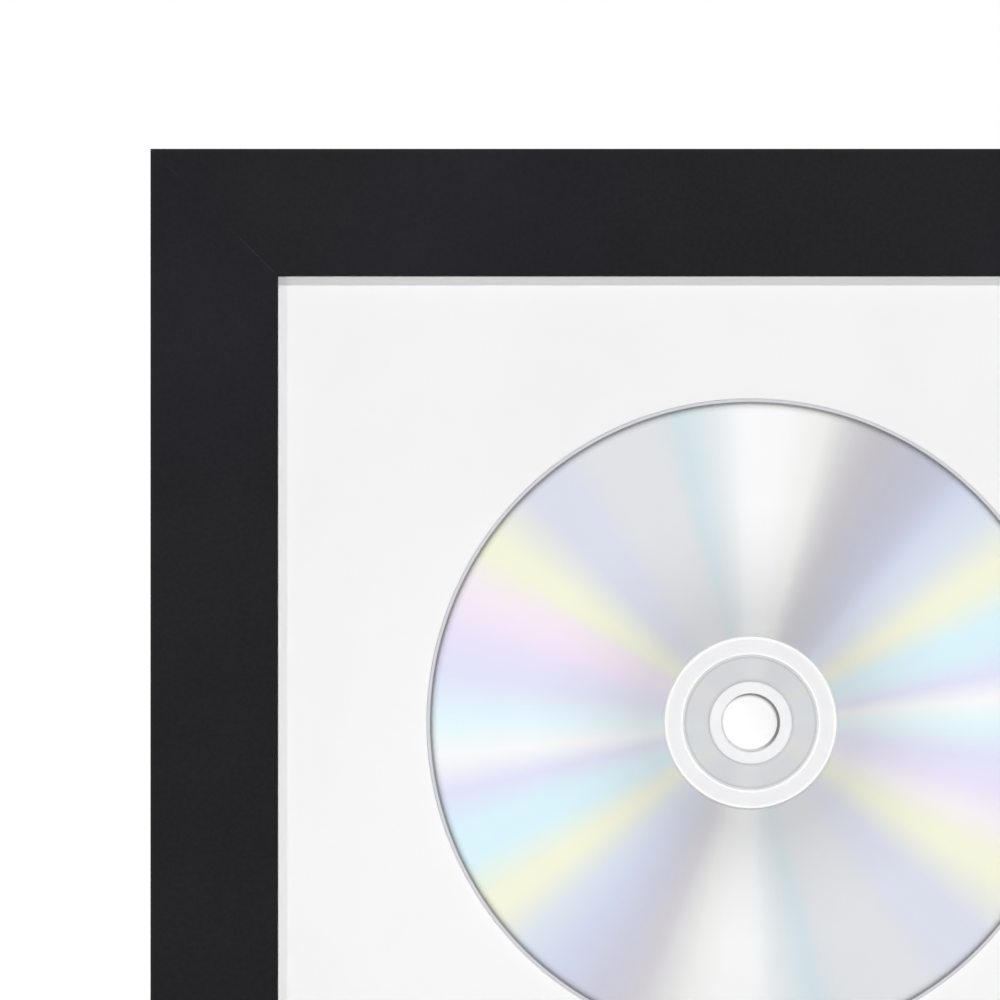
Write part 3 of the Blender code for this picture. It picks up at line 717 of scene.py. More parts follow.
def hub_look(tree):
    """Milky plastic. The tapered bore has a painted shade on its upper right side and painted light on the
    other.
    """
    place = object_place(tree)
    x, y, z = axes(tree, place)
    radius = from_axis(tree, x, z)
    # Painted shade on the bore's upper right side, painted light on its lower left.
    side = smooth(tree, towards(tree, x, z, 38), -0.55, 0.5)
    bore = tint(tree, side, BORE_PAINTED_LIGHT, HUB_SHADE)
    in_bore = smooth(tree, radius, BORE_FRONT_RADIUS - 0.1 * MM, BORE_FRONT_RADIUS + 0.02 * MM, 1.0, 0.0)
    clouds = noise(tree, place, 400, detail=2)
    body = tint(tree, smooth(tree, clouds, 0.3, 0.7), HUB_WHITE, HUB_CLOUD)
    body = tint(tree, in_bore, body, bore)
    return {"Base Color": body, "Normal": relief(tree, clouds, HUB_GRAIN_DEPTH)}


milky_plastic = new_finish("milky_plastic", {"Roughness": 0.32, "Specular IOR Level": 0.3}, hub_look)
hub = turned("snap_hub", hub_outline(), HUB_STEPS)
hub.data.materials.append(milky_plastic)
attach(hub, "frame")
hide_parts("disc_hub")


def pad_look(tree):
    """White fibres, with a painted shadow on one side along the rim of the bore."""
    place = object_place(tree)
    x, _, z = axes(tree, place)
    fibres = noise(tree, place, 1500, detail=3)
    body = tint(tree, smooth(tree, fibres, 0.3, 0.7), PAD_WHITE, PAD_FIBRE)
    # A painted shadow of the hub, grey towards the upper right along the rim of the bore.
    rim = smooth(tree, from_axis(tree, x, z), PAD_SHADOW_FROM, PAD_SHADOW_TO)
    painted_shadow = maths(tree, "MULTIPLY", rim, smooth(tree, towards(tree, x, z, 65), 0.0, 1.15, 0.0, 0.8))
    body = tint(tree, painted_shadow, body, PAD_PAINTED_SHADOW)
    return {"Base Color": body, "Normal": relief(tree, fibres, HUB_GRAIN_DEPTH)}


frame["nodes"]["hub_adhesive_pad"].data.materials.clear()
frame["nodes"]["hub_adhesive_pad"].data.materials.append(
    new_finish("white_pad", {"Roughness": 0.85, "Specular IOR Level": 0.2}, pad_look)
)

# Disc
# A standard disc of clear polycarbonate, silvered behind. Its middle is left clear, with a moulded
# groove and a raised stacking ring, and the silvered band shows soft fans of colour, painted reflections.

DISC_STEPS = 288
DISC_HOLE_RADIUS = 7.5 * MM
GROOVE_INNER_RADIUS = 7.75 * MM
GROOVE_OUTER_RADIUS = 8.05 * MM
GROOVE_DEPTH = 0.15 * MM
RING_INNER_RADIUS = 12.4 * MM
RING_OUTER_RADIUS = 16.06 * MM
RING_SLOPE = 0.14 * MM
RING_HEIGHT = 0.2 * MM
RING_EDGE = 0.1 * MM
GROOVE_EDGE = 0.05 * MM
GROOVE_MOUTH = 0.02 * MM
SILVER_OUTER_RADIUS = 59.41 * MM
RIM_EDGE = 0.22 * MM
disc_low, disc_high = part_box("disc")
DISC_RADIUS = disc_high.z


def disc_outline():
    back = disc_high.y
    crest = disc_low.y
    face = crest + RING_HEIGHT
    corners = (
        (DISC_HOLE_RADIUS, back, SMALL_EDGE),
        (DISC_HOLE_RADIUS, face, SMALL_EDGE),
        (GROOVE_INNER_RADIUS, face, GROOVE_MOUTH),
        (GROOVE_INNER_RADIUS, face + GROOVE_DEPTH, GROOVE_EDGE),
        (GROOVE_OUTER_RADIUS, face + GROOVE_DEPTH, GROOVE_EDGE),
        (GROOVE_OUTER_RADIUS, face, GROOVE_EDGE),
        (RING_INNER_RADIUS, face, RING_EDGE),
        (RING_INNER_RADIUS + RING_SLOPE, crest, RING_EDGE),
        (RING_OUTER_RADIUS - RING_SLOPE, crest, RING_EDGE),
        (RING_OUTER_RADIUS, face, RING_EDGE),
        (SILVER_OUTER_RADIUS, face, 0),
        (DISC_RADIUS, face, RIM_EDGE),
        (DISC_RADIUS, back, RIM_EDGE),
    )
    return eased(corners)


DISC_GLOSS = 0.05
ICE = behind_glazing(232, 250, 254, DISC_GLOSS)
SNOW = behind_glazing(251, 251, 252, DISC_GLOSS)
LAVENDER = behind_glazing(229, 230, 251, DISC_GLOSS)
SKY = behind_glazing(222, 246, 254, DISC_GLOSS)
LEMON = behind_glazing(246, 247, 224, DISC_GLOSS)
HAZE = behind_glazing(222, 230, 241, DISC_GLOSS)
PERIWINKLE = behind_glazing(213, 219, 239, DISC_GLOSS)
SLATE = behind_glazing(208, 208, 223, DISC_GLOSS)
STONE = behind_glazing(213, 210, 216, DISC_GLOSS)
PEARL = behind_glazing(242, 242, 240, DISC_GLOSS)
FROST = behind_glazing(231, 237, 240, DISC_GLOSS)
MINT = behind_glazing(215, 229, 234, DISC_GLOSS)
SILVER = behind_glazing(228, 229, 233, DISC_GLOSS)
LILAC = behind_glazing(222, 225, 238, DISC_GLOSS)
ROSE = behind_glazing(250, 229, 250, DISC_GLOSS)
BLUSH = behind_glazing(247, 243, 246, DISC_GLOSS)
VIOLET = behind_glazing(237, 230, 252, DISC_GLOSS)

# Half a turn of the fan of painted reflected colours, in degrees from the right through the top
FAN = (
    (0, ICE),
    (6, SNOW),
    (12, LAVENDER),
    (19, SKY),
    (24, SKY),
    (32, LEMON),
    (35, LEMON),
    (43, HAZE),
    (50, PERIWINKLE),
    (60, SLATE),
    (67, STONE),
    (77, PEARL),
    (84, SNOW),
    (91, SNOW),
    (97, FROST),
    (103, MINT),
    (109, SILVER),
    (121, SILVER),
    (129, LILAC),
    (136, LILAC),
    (146, LEMON),
    (149, LEMON),
    (156, BLUSH),
    (164, VIOLET),
    (171, LAVENDER),
    (180, ICE),
)

# The degrees by which the fan leans off straight spokes, and those by which it rights itself above and
# below, then the spoke where it turns rosy and the spoke where it has a painted shade
FAN_SWAY = 4.85
FAN_RIGHTING = 5.0
BLUSH_ANGLE = 155.5
FAN_SHADE_ANGLE = 61.5
FAN_PAINTED_SHADE = (0.1, 0.1, 0.11, 1.0)

# How far the fan fades to grey towards the middle, by radius in millimetres
INNER_GREY = behind_glazing(188, 188, 190, DISC_GLOSS)
GREY_SHARES = (
    (16.1, 0.6),
    (16.6, 0.51),
    (20.0, 0.49),
    (23.5, 0.37),
    (27.0, 0.26),
    (31.0, 0.15),
    (36.0, 0.06),
    (41.0, 0.0),
)

# How the silvered band darkens to its edge, by radius in millimetres: a painted soft shade, then the dark
# line where the silvering ends
BAND_LEVELS = (
    (57.8, 1.0),
    (58.3, 0.9),
    (58.68, 0.74),
    (58.97, 0.44),
    (59.08, 0.22),
    (59.36, 0.15),
    (59.41, 0.6),
)

# The tint of the clear plastic by radius in millimetres, with painted shade in the groove and inside the
# stacking ring and painted highlights on the ring's edges, and how much of the fan shows in it
RIM_LILAC = behind_glazing(216, 215, 222, DISC_GLOSS)
RIM_LINE = behind_glazing(203, 202, 210, DISC_GLOSS)
CLEAR_GREY = behind_glazing(217, 218, 220, DISC_GLOSS)
SHADED_GREY = behind_glazing(188, 189, 191, DISC_GLOSS)
GROOVE_SHADE = behind_glazing(205, 205, 207, DISC_GLOSS)
RING_WHITE = behind_glazing(244, 244, 246, DISC_GLOSS)
RING_EDGE_HIGHLIGHT = behind_glazing(255, 255, 255, DISC_GLOSS)
CLEAR_TINTS = (
    (7.4, RING_WHITE),
    (7.5, GROOVE_SHADE),
    (7.95, GROOVE_SHADE),
    (8.1, CLEAR_GREY),
    (11.75, CLEAR_GREY),
    (12.05, SHADED_GREY),
    (12.36, SHADED_GREY),
    (12.4, RING_EDGE_HIGHLIGHT),
    (12.98, RING_EDGE_HIGHLIGHT),
    (13.06, RING_WHITE),
    (15.4, RING_WHITE),
    (15.48, RING_EDGE_HIGHLIGHT),
    (16.06, RING_EDGE_HIGHLIGHT),
    (59.41, RIM_LILAC),
    (59.75, RIM_LILAC),
    (59.9, RIM_LINE),
)
FAN_SHARES = (
    (7.9, 0.0),
    (8.3, 0.34),
    (12.1, 0.34),
    (12.36, 0.1),
    (12.4, 0.0),
    (12.98, 0.0),
    (13.06, 0.1),
    (15.4, 0.1),
    (15.48, 0.0),
    (16.06, 0.0),
    (16.12, 1.0),
    (59.36, 1.0),
    (59.41, 0.0),
)

# How strongly the edges of the stacking ring catch the light, by radius in millimetres
RING_GLINTS = (
    (12.4, 0.0),
    (12.46, 0.5),
    (12.94, 0.5),
    (13.0, 0.0),
    (15.44, 0.0),
    (15.5, 0.5),
    (16.02, 0.5),
    (16.08, 0.0),
)


def by_radius(tree, share, levels):
    """A run of colours or levels over the disc's radius."""
    stops = [(radius * MM / DISC_RADIUS, level) for radius, level in levels]
    return ramp(tree, share, stops)


def disc_look(tree):
    """The fan of painted reflections over the silvered band, the clear plastic inside and outside it, and a
    mirror's gloss.
    """
    x, _, z = axes(tree, object_place(tree))
    outward = maths(tree, "DIVIDE", from_axis(tree, x, z), DISC_RADIUS)
    upward = towards(tree, x, z, 90)
    squared = maths(tree, "MULTIPLY", upward, upward)
    bend = maths(tree, "SUBTRACT", FAN_SWAY, maths(tree, "MULTIPLY", squared, FAN_RIGHTING))
    sway = maths(tree, "MULTIPLY", maths(tree, "MULTIPLY", upward, bend), 1 / 180)
    half_turns = maths(tree, "MULTIPLY", turn_angle(tree, x, z), 2.0)
    phase = maths(tree, "FRACT", maths(tree, "ADD", half_turns, sway))
    fan = ramp(tree, phase, [(degrees / 180, colour) for degrees, colour in FAN])
    blush = smooth(tree, towards(tree, x, z, BLUSH_ANGLE), 0.99, 0.9995, 0.0, 0.58)
    outside = smooth(tree, outward, 0.62, 0.88, 1.0, 0.45)
    fan = tint(tree, maths(tree, "MULTIPLY", blush, outside), fan, ROSE)
    # A painted shade across the fan towards the upper right.
    fan_shade = smooth(tree, towards(tree, x, z, FAN_SHADE_ANGLE), 0.966, 0.993, 0.0, 0.19)
    fan = tint(tree, fan_shade, fan, FAN_PAINTED_SHADE)
    band = tint(tree, by_radius(tree, outward, GREY_SHARES), fan, INNER_GREY)
    band = tint(tree, 1.0, band, by_radius(tree, outward, BAND_LEVELS), "MULTIPLY")
    clear = by_radius(tree, outward, CLEAR_TINTS)
    share = by_radius(tree, outward, FAN_SHARES)
    body = tint(tree, share, clear, band)
    silvered = smooth(tree, share, 0.5, 0.9, 0.0, 0.75)
    metal = maths(tree, "MAXIMUM", silvered, by_radius(tree, outward, RING_GLINTS))
    return {"Base Color": body, "Metallic": metal}


POLYCARBONATE = {
    "Roughness": 0.1,
    "Specular IOR Level": 0.3,
    "Coat Weight": 1.0,
    "Coat Roughness": 0.02,
    "Coat IOR": 1.58,
}
disc = turned("disc_body", disc_outline(), DISC_STEPS)
disc.data.materials.append(new_finish("silvered_polycarbonate", POLYCARBONATE, disc_look))
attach(disc, "disc")
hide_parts("disc")

# Mounting board
# Foam board, a white foam core between two sheets of paper, that backs the mat and takes the hub's
# pad. Its cut edges show the foam.

foam_low, foam_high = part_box("mounting_board")
foam_board = new_finish(
    "white_foam_board",
    {"Roughness": 0.85, "Specular IOR Level": 0.2},
    paper_look(foam_low, foam_high, FOAM_WHITE),
)
frame["nodes"]["mounting_board"].data.materials.clear()
frame["nodes"]["mounting_board"].data.materials.append(foam_board)

# Backing board
# Hardboard, pressed brown wood fibre, cut to the rebate. The mesh it was pressed on has left its
# print on the side that looks back, and its cut edges are eased off.

SCREEN_PITCH = 1.15 * MM
SCREEN_DEPTH = 0.1 * MM
BOARD_EDGE = 0.35 * MM
HARDBOARD_BROWN = screen(150, 114, 80)
HARDBOARD_DARK = screen(112, 82, 55)
FIBRE_PALE = screen(184, 150, 112)
FIBRE_DEPTH = 0.04 * MM


def screen_print(tree, x, z):
    """The print of a woven mesh, from 0 in its pits to 1 on its crowns."""
    waves = []
    for axis in (x, z):
        turns = maths(tree, "MULTIPLY", axis, 2 * math.pi / SCREEN_PITCH)
        waves.append(maths(tree, "MULTIPLY", maths(tree, "SINE", turns), 0.25))
    return maths(tree, "ADD", maths(tree, "ADD", waves[0], waves[1]), 0.5)


def hardboard_look(tree):
    place = object_place(tree)
    x, _, z = axes(tree, place)
    clouds = noise(tree, place, 45, detail=4)
    body = tint(tree, smooth(tree, clouds, 0.3, 0.7, 0.0, 0.22), HARDBOARD_BROWN, HARDBOARD_DARK)
    drawn_out = join(tree, maths(tree, "MULTIPLY", x, 0.35), 0.0, z)
    fibres = noise(tree, drawn_out, 1600, detail=4, roughness=0.65)
    body = tint(tree, smooth(tree, fibres, 0.58, 0.72, 0.0, 0.55), body, FIBRE_PALE)
    mesh_print = screen_print(tree, x, z)
    body = tint(tree, smooth(tree, mesh_print, 0.1, 0.5, 0.3, 0.0), body, HARDBOARD_DARK)
    surface = relief(tree, mesh_print, SCREEN_DEPTH)
    surface = relief(tree, fibres, FIBRE_DEPTH, surface)
    return {"Base Color": body, "Roughness": smooth(tree, fibres, 0.3, 0.7, 0.7, 0.85), "Normal": surface}


backing = cleaned_copy("backing_panel", "backing_board")
ease_edges(backing, BOARD_EDGE, segments=3)
settle(backing)
shade(backing, sharp=10)
backing.data.materials.append(new_finish("brown_hardboard", {"Specular IOR Level": 0.25}, hardboard_look))
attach(backing, "frame")
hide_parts("backing_board")

# Turn buttons
# Six stampings in zinc-plated sheet, each pivoting on its screw. The tapered end is turned up so that
# a finger gets under it, and the stamping has rounded the edges.

BUTTON_THICKNESS = 1.0 * MM
BUTTON_HEAD_RADIUS = 5.0 * MM
BUTTON_TIP_RADIUS = 3.0 * MM
BUTTON_LIFT_LENGTH = 3.4 * MM
BUTTON_LIFT = 0.9 * MM
SCREW_SHANK_RADIUS = 1.4 * MM
RUNNING_GAP = 0.05 * MM
STAMPED_EDGE = 0.16 * MM
ARC_STEPS = 28
ZINC = screen(186, 188, 191)
ZINC_PATCH = screen(164, 167, 171)


def arc(centre, radius, start, end, steps=ARC_STEPS):
    """Points along an arc, from a start to an end angle in degrees."""
    points = []
    for step in range(steps + 1):
        angle = math.radians(start + (end - start) * step / steps)
        points.append((centre[0] + radius * math.cos(angle), centre[1] + radius * math.sin(angle)))
    return points


def clean(shell):
    """Joins points that coincide and drops faces without an area."""
    bmesh.ops.remove_doubles(shell, verts=shell.verts, dist=WELD)
    bmesh.ops.dissolve_degenerate(shell, dist=WELD, edges=shell.edges)


def stamped_plate(name, outlines, thickness):
    """A plate stamped to closed outlines, the first its edge and the rest its holes, flat on z = 0."""
    drawing = bpy.data.curves.new(name, "CURVE")
    drawing.dimensions = "2D"
    drawing.fill_mode = "BOTH"
    drawing.extrude = thickness / 2
    for outline in outlines:
        line = drawing.splines.new("POLY")
        line.points.add(len(outline) - 1)
        for point, (x, y) in zip(line.points, outline):
            point.co = (x, y, thickness / 2, 1)
        line.use_cyclic_u = True
    sketch = bpy.data.objects.new(f"{name}_drawing", drawing)
    bpy.context.scene.collection.objects.link(sketch)
    layers = bpy.context.evaluated_depsgraph_get()
    mesh = bpy.data.meshes.new_from_object(sketch.evaluated_get(layers))
    bpy.data.objects.remove(sketch)
    shell = bmesh.new()
    shell.from_mesh(mesh)
    clean(shell)
    bmesh.ops.recalc_face_normals(shell, faces=shell.faces)
    bmesh.ops.dissolve_limit(shell, angle_limit=math.radians(1), verts=shell.verts, edges=shell.edges)
    shell.to_mesh(mesh)
    shell.free()
    obj = bpy.data.objects.new(name, mesh)
    bpy.context.scene.collection.objects.link(obj)
    return obj


def bend_at(obj, lines, height_at):
    """Creases a plate along x at some lines, then lifts each of its points by a height that depends on x."""
    shell = bmesh.new()
    shell.from_mesh(obj.data)
    for line in lines:
        bmesh.ops.bisect_plane(
            shell,
            geom=[*shell.verts, *shell.edges, *shell.faces],
            dist=WELD,
            plane_co=(line, 0, 0),
            plane_no=(1, 0, 0),
        )
    clean(shell)
    for vert in shell.verts:
        vert.co.z += height_at(vert.co.x)
    shell.to_mesh(obj.data)
    shell.free()


def button_outline(length):
    """A round head that tapers to a smaller round tip."""
    lean = math.degrees(math.asin((BUTTON_HEAD_RADIUS - BUTTON_TIP_RADIUS) / length))
    head = arc((0, 0), BUTTON_HEAD_RADIUS, 90 - lean, 270 + lean)
    return [*head, *arc((length, 0), BUTTON_TIP_RADIUS, lean - 90, 90 - lean)]


def make_turn_button(joint, finish):
    """One button, laid on the rail's back at its joint's axis and pointing in to the frame's middle."""
    node = f"turn_{joint['child']}"
    low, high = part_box(node)
    pivot = Vector(joint["pos_m"])
    length = max(high.x - low.x, high.z - low.z) - BUTTON_HEAD_RADIUS - BUTTON_TIP_RADIUS
    hole = arc((0, 0), SCREW_SHANK_RADIUS + RUNNING_GAP, 0, 360)[:-1]
    button = stamped_plate(f"{joint['child']}_stamping", [button_outline(length), hole], BUTTON_THICKNESS)
    bend = length + BUTTON_TIP_RADIUS - BUTTON_LIFT_LENGTH
    curl = BUTTON_LIFT_LENGTH / 3
    rise = bend + curl / 2

    def lift(x):
        return BUTTON_LIFT * max(x - rise, 0) / (length + BUTTON_TIP_RADIUS - rise)

    bend_at(button, (bend, rise, bend + curl), lift)
    points_down = abs(pivot.z) / HALF_HEIGHT > abs(pivot.x) / HALF_WIDTH
    inward = math.atan2(-pivot.z, 0) if points_down else math.atan2(0, -pivot.x)
    turn = Matrix.Rotation(-inward, 4, "Y") @ Matrix.Rotation(-math.pi / 2, 4, "X")
    button.data.transform(Matrix.Translation((pivot.x, low.y, pivot.z)) @ turn)
    ease_edges(button, STAMPED_EDGE, clamp=False)
    settle(button)
    shade(button, sharp=20)
    button.data.materials.append(finish)
    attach(button, joint["child"])
    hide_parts(node)


zinc_plate = new_finish("zinc_plate", {"Metallic": 1.0}, plated_look(ZINC, ZINC_PATCH, 0.28, 0.42))
button_joints = [joint for joint in frame["joints"] if joint["child"].startswith("button")]
for joint in button_joints:
    make_turn_button(joint, zinc_plate)

# Button screws
# Round-headed screws with a cross recess, driven into the rails by hand, so that each recess lies at
# its own angle. They are bright zinc with duller patches.

SCREW_HEAD_RADIUS = 2.8 * MM
SCREW_RECESS_LENGTH = 3.3 * MM
SCREW_RECESS_WIDTH = 0.62 * MM
SCREW_RECESS_DEPTH = 1.0 * MM
RECESS_TAPER = 0.45
SCREW_CROWN_SHARE = 0.62
SCREW_CROWN_DROP = 0.1 * MM
SCREW_POINT_LENGTH = 2 * MM
HARDWARE_STEPS = 48
screw_nodes = [f"button_screw_{joint['child'][len('button_'):]}" for joint in button_joints]
screw_low, screw_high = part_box(screw_nodes[0])
button_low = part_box(f"turn_{button_joints[0]['child']}")[0]


def screw_outline():
    """Half a section of the screw, from its head's crown down to its point."""
    top = screw_high.y
    seat = button_low.y + BUTTON_THICKNESS + RUNNING_GAP
    corners = (
        (0, top, 0),
        (SCREW_HEAD_RADIUS * SCREW_CROWN_SHARE, top - SCREW_CROWN_DROP, 0.5 * MM),
        (SCREW_HEAD_RADIUS, (top + seat) / 2, 0.3 * MM),
        (SCREW_HEAD_RADIUS, seat, SMALL_EDGE),
        (SCREW_SHANK_RADIUS, seat, SMALL_EDGE),
        (SCREW_SHANK_RADIUS, screw_low.y + SCREW_POINT_LENGTH, 0),
        (0, screw_low.y, 0),
    )
    return eased(corners, steps=6, closed=False)


def cut_cross_recess(screw):
    """Sinks a cross into the head, narrower at its foot."""
    arm, side = SCREW_RECESS_LENGTH / 2, SCREW_RECESS_WIDTH / 2
    quarter = [(arm, -side), (arm, side), (side, side)]
    outline = []
    for turn in range(4):
        spin = Matrix.Rotation(turn * math.pi / 2, 2)
        outline += [tuple(spin @ Vector(point)) for point in quarter]
    cross = stamped_plate("recess", [outline], 2 * SCREW_RECESS_DEPTH)
    for vert in cross.data.vertices:
        if vert.co.z < SCREW_RECESS_DEPTH:
            vert.co.x *= RECESS_TAPER
            vert.co.y *= RECESS_TAPER
    foot = screw_high.y - SCREW_RECESS_DEPTH
    cross.data.transform(Matrix.Translation((0, foot, 0)) @ Matrix.Rotation(-math.pi / 2, 4, "X"))
    cut = screw.modifiers.new("Recess", "BOOLEAN")
    cut.operation = "DIFFERENCE"
    cut.object = cross
    settle(screw)
    bpy.data.objects.remove(cross)
    return shade(screw)


def hardware_row_tree():
    """Sets a copy of one piece on each point, each turned about its own axis by chance, as one mesh."""
    inputs = {"Piece": "Object", "Most Turn": "Float", "Seed": "Int", "Finish": "Material"}
    tree, given, result = new_geometry_tree("hardware_row", inputs)
    points = add(tree, "GeometryNodeMeshToPoints", {"Mesh": given["Geometry"]}).outputs[0]
    piece = add(tree, "GeometryNodeObjectInfo", {"Object": given["Piece"]}).outputs["Geometry"]
    chance = add(tree, "FunctionNodeRandomValue", data_type="FLOAT")
    tree.links.new(given["Most Turn"], chance.inputs[3])
    tree.links.new(given["Seed"], chance.inputs["Seed"])
    turn = add(tree, "FunctionNodeEulerToRotation", {0: join(tree, 0.0, chance.outputs[1], 0.0)}).outputs[0]
    placed = {"Points": points, "Instance": piece, "Rotation": turn}
    row = add(tree, "GeometryNodeInstanceOnPoints", placed).outputs[0]
    row = add(tree, "GeometryNodeRealizeInstances", {0: row}).outputs[0]
    row = add(tree, "GeometryNodeSetMaterial", {0: row, "Material": given["Finish"]}).outputs[0]
    tree.links.new(row, result)
    return tree


hardware_row = hardware_row_tree()


def set_row(name, piece, places, finish, nodes, most_turn=0.0, seed=0):
    """A row of one piece at places on the rails' backs, which stands for as many CAD nodes."""
    spots = wire_mesh(f"{name}_places", [(x, 0, z) for x, z in places], closed=False)
    values = {"Piece": piece, "Most Turn": most_turn, "Seed": seed, "Finish": finish}
    row = grow(name, spots, hardware_row, values)
    bpy.data.objects.remove(piece)
    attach(row, "frame")
    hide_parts(*nodes)
    return row


SCREW_BRIGHT = screen(204, 205, 208)
SCREW_DULL = screen(160, 161, 166)
bright_zinc = new_finish("bright_zinc", {"Metallic": 1.0}, plated_look(SCREW_BRIGHT, SCREW_DULL, 0.22, 0.36))
screw = cut_cross_recess(turned("screw", screw_outline(), HARDWARE_STEPS, ring=False))
screw_places = [(joint["pos_m"][0], joint["pos_m"][2]) for joint in button_joints]
set_row(
    "button_screws",
    screw,
    screw_places,
    bright_zinc,
    screw_nodes,
    most_turn=math.pi / 2,
    seed=7,
)

# Toothed hanger
# A strip of brass-plated steel, nailed to the back of the top rail through its end tabs. Its bridge
# is pressed up so that a wall hook fits behind it, and its lower edge is cut into teeth.

HANGER_SHEET = 0.8 * MM
HANGER_HEIGHT = 9.0 * MM
HANGER_TAB_RADIUS = 4.0 * MM
HANGER_BRIDGE_LENGTH = 31.0 * MM
HANGER_BEND_LENGTH = 2.0 * MM
HANGER_RAISE = 1.9 * MM
HANGER_TOOTH_PITCH = 2.6 * MM
HANGER_TOOTH_DEPTH = 1.5 * MM
HANGER_TOOTH_EDGE = 0.25 * MM
HANGER_EDGE = 0.12 * MM
NAIL_SHANK_RADIUS = 0.8 * MM
NAIL_HEAD_RADIUS = 1.9 * MM
NAIL_CROWN_SHARE = 0.7
NAIL_BRIM = 0.15 * MM
NAIL_POINT_LENGTH = 1.6 * MM
BRASS = screen(222, 191, 124)
BRASS_DULL = screen(204, 170, 106)
hanger_low, hanger_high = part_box("sawtooth_hanger")
nail_low, nail_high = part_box("hanger_nail_left")
nail_x = -(nail_low.x + nail_high.x) / 2


def hanger_outline():
    """A strip with round tabs at its ends, whose lower edge, at +y, has teeth between the bends."""
    half = HANGER_HEIGHT / 2
    bridge = HANGER_BRIDGE_LENGTH / 2
    foot = bridge + HANGER_BEND_LENGTH
    each_side = int((bridge - HANGER_TOOTH_PITCH) / HANGER_TOOTH_PITCH)
    start = -(2 * each_side + 1) * HANGER_TOOTH_PITCH / 2
    saw = []
    for tooth in range(2 * each_side + 1):
        left = start + tooth * HANGER_TOOTH_PITCH
        saw += [(left, half), (left + HANGER_TOOTH_PITCH / 2, half - HANGER_TOOTH_DEPTH)]
    corners = [(x, y, HANGER_TOOTH_EDGE) for x, y in (*saw, (-start, half))]
    return [
        *arc((-nail_x, 0), HANGER_TAB_RADIUS, 270, 90),
        (-foot, HANGER_TAB_RADIUS),
        (-bridge, half),
        *eased(corners, steps=8, closed=False),
        (bridge, half),
        (foot, HANGER_TAB_RADIUS),
        *arc((nail_x, 0), HANGER_TAB_RADIUS, 90, -90),
        (foot, -HANGER_TAB_RADIUS),
        (bridge, -half),
        (-bridge, -half),
        (-foot, -HANGER_TAB_RADIUS),
    ]


def make_hanger(finish):
    """The strip, laid on the back of the top rail. It gives the height at which its nails stand."""
    holes = [arc((x, 0), NAIL_SHANK_RADIUS + RUNNING_GAP, 0, 360)[:-1] for x in (-nail_x, nail_x)]
    strip = stamped_plate("toothed_strip", [hanger_outline(), *holes], HANGER_SHEET)
    bridge = HANGER_BRIDGE_LENGTH / 2
    foot = bridge + HANGER_BEND_LENGTH

    def lift(x):
        return HANGER_RAISE * min(max((foot - abs(x)) / HANGER_BEND_LENGTH, 0), 1)

    bend_at(strip, (-foot, -bridge, bridge, foot), lift)
    level = (hanger_low.z + hanger_high.z) / 2
    face_back = Matrix.Rotation(-math.pi / 2, 4, "X")
    strip.data.transform(Matrix.Translation((0, hanger_low.y, level)) @ face_back)
    ease_edges(strip, HANGER_EDGE, clamp=False)
    settle(strip)
    shade(strip, sharp=20)
    strip.data.materials.append(finish)
    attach(strip, "frame")
    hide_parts("sawtooth_hanger")
    return level


brass_plate = new_finish("brass_plate", {"Metallic": 1.0}, plated_look(BRASS, BRASS_DULL, 0.24, 0.4))
hanger_level = make_hanger(brass_plate)


def nail_outline():
    """Half a section of the nail, from its domed head down to its point."""
    seat = hanger_low.y + HANGER_SHEET + RUNNING_GAP
    corners = (
        (0, nail_high.y, 0),
        (NAIL_HEAD_RADIUS * NAIL_CROWN_SHARE, nail_high.y, 0.6 * MM),
        (NAIL_HEAD_RADIUS, seat + NAIL_BRIM, 0.1 * MM),
        (NAIL_HEAD_RADIUS, seat, 0.03 * MM),
        (NAIL_SHANK_RADIUS, seat, 0.05 * MM),
        (NAIL_SHANK_RADIUS, nail_low.y + NAIL_POINT_LENGTH, 0),
        (0, nail_low.y, 0),
    )
    return eased(corners, steps=6, closed=False)


set_row(
    "hanger_nails",
    turned("nail", nail_outline(), HARDWARE_STEPS, ring=False),
    [(-nail_x, hanger_level), (nail_x, hanger_level)],
    brass_plate,
    ["hanger_nail_left", "hanger_nail_right"],
)

# Wall bumpers
# Two domes of grey rubber, stuck on near the ends of the bottom rail. They keep the frame off the
# wall, and their crowns are flat where they touch it.

BUMPER_FLAT_RADIUS = 2.4 * MM
BUMPER_SHOULDER_SHARE = 0.83
BUMPER_SHOULDER_DROP = 0.75 * MM
BUMPER_WALL = 1.0 * MM
RUBBER = screen(88, 88, 90)
RUBBER_DUST = screen(112, 112, 113)
RUBBER_GRAIN_DEPTH = 0.02 * MM
bumper_low, bumper_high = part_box("wall_bumper_left")


def bumper_outline():
    """Half a section of the bumper, from its flat crown over the dome to its foot."""
    radius = (bumper_high.x - bumper_low.x) / 2
    foot, crown = bumper_low.y, bumper_high.y
    corners = (
        (0, crown, 0),
        (BUMPER_FLAT_RADIUS, crown, 0.4 * MM),
        (radius * BUMPER_SHOULDER_SHARE, crown - BUMPER_SHOULDER_DROP, 1.0 * MM),
        (radius, foot + BUMPER_WALL, 0.7 * MM),
        (radius, foot, SMALL_EDGE),
        (0, foot, 0),
    )
    return eased(corners, steps=8, closed=False)


def rubber_look(tree):
    place = object_place(tree)
    grain = noise(tree, place, 2200, detail=3)
    dust = smooth(tree, noise(tree, place, 380, detail=5), 0.5, 0.75, 0.0, 0.6)
    body = tint(tree, dust, RUBBER, RUBBER_DUST)
    shine = smooth(tree, dust, 0.0, 0.6, 0.42, 0.7)
    return {"Base Color": body, "Roughness": shine, "Normal": relief(tree, grain, RUBBER_GRAIN_DEPTH)}


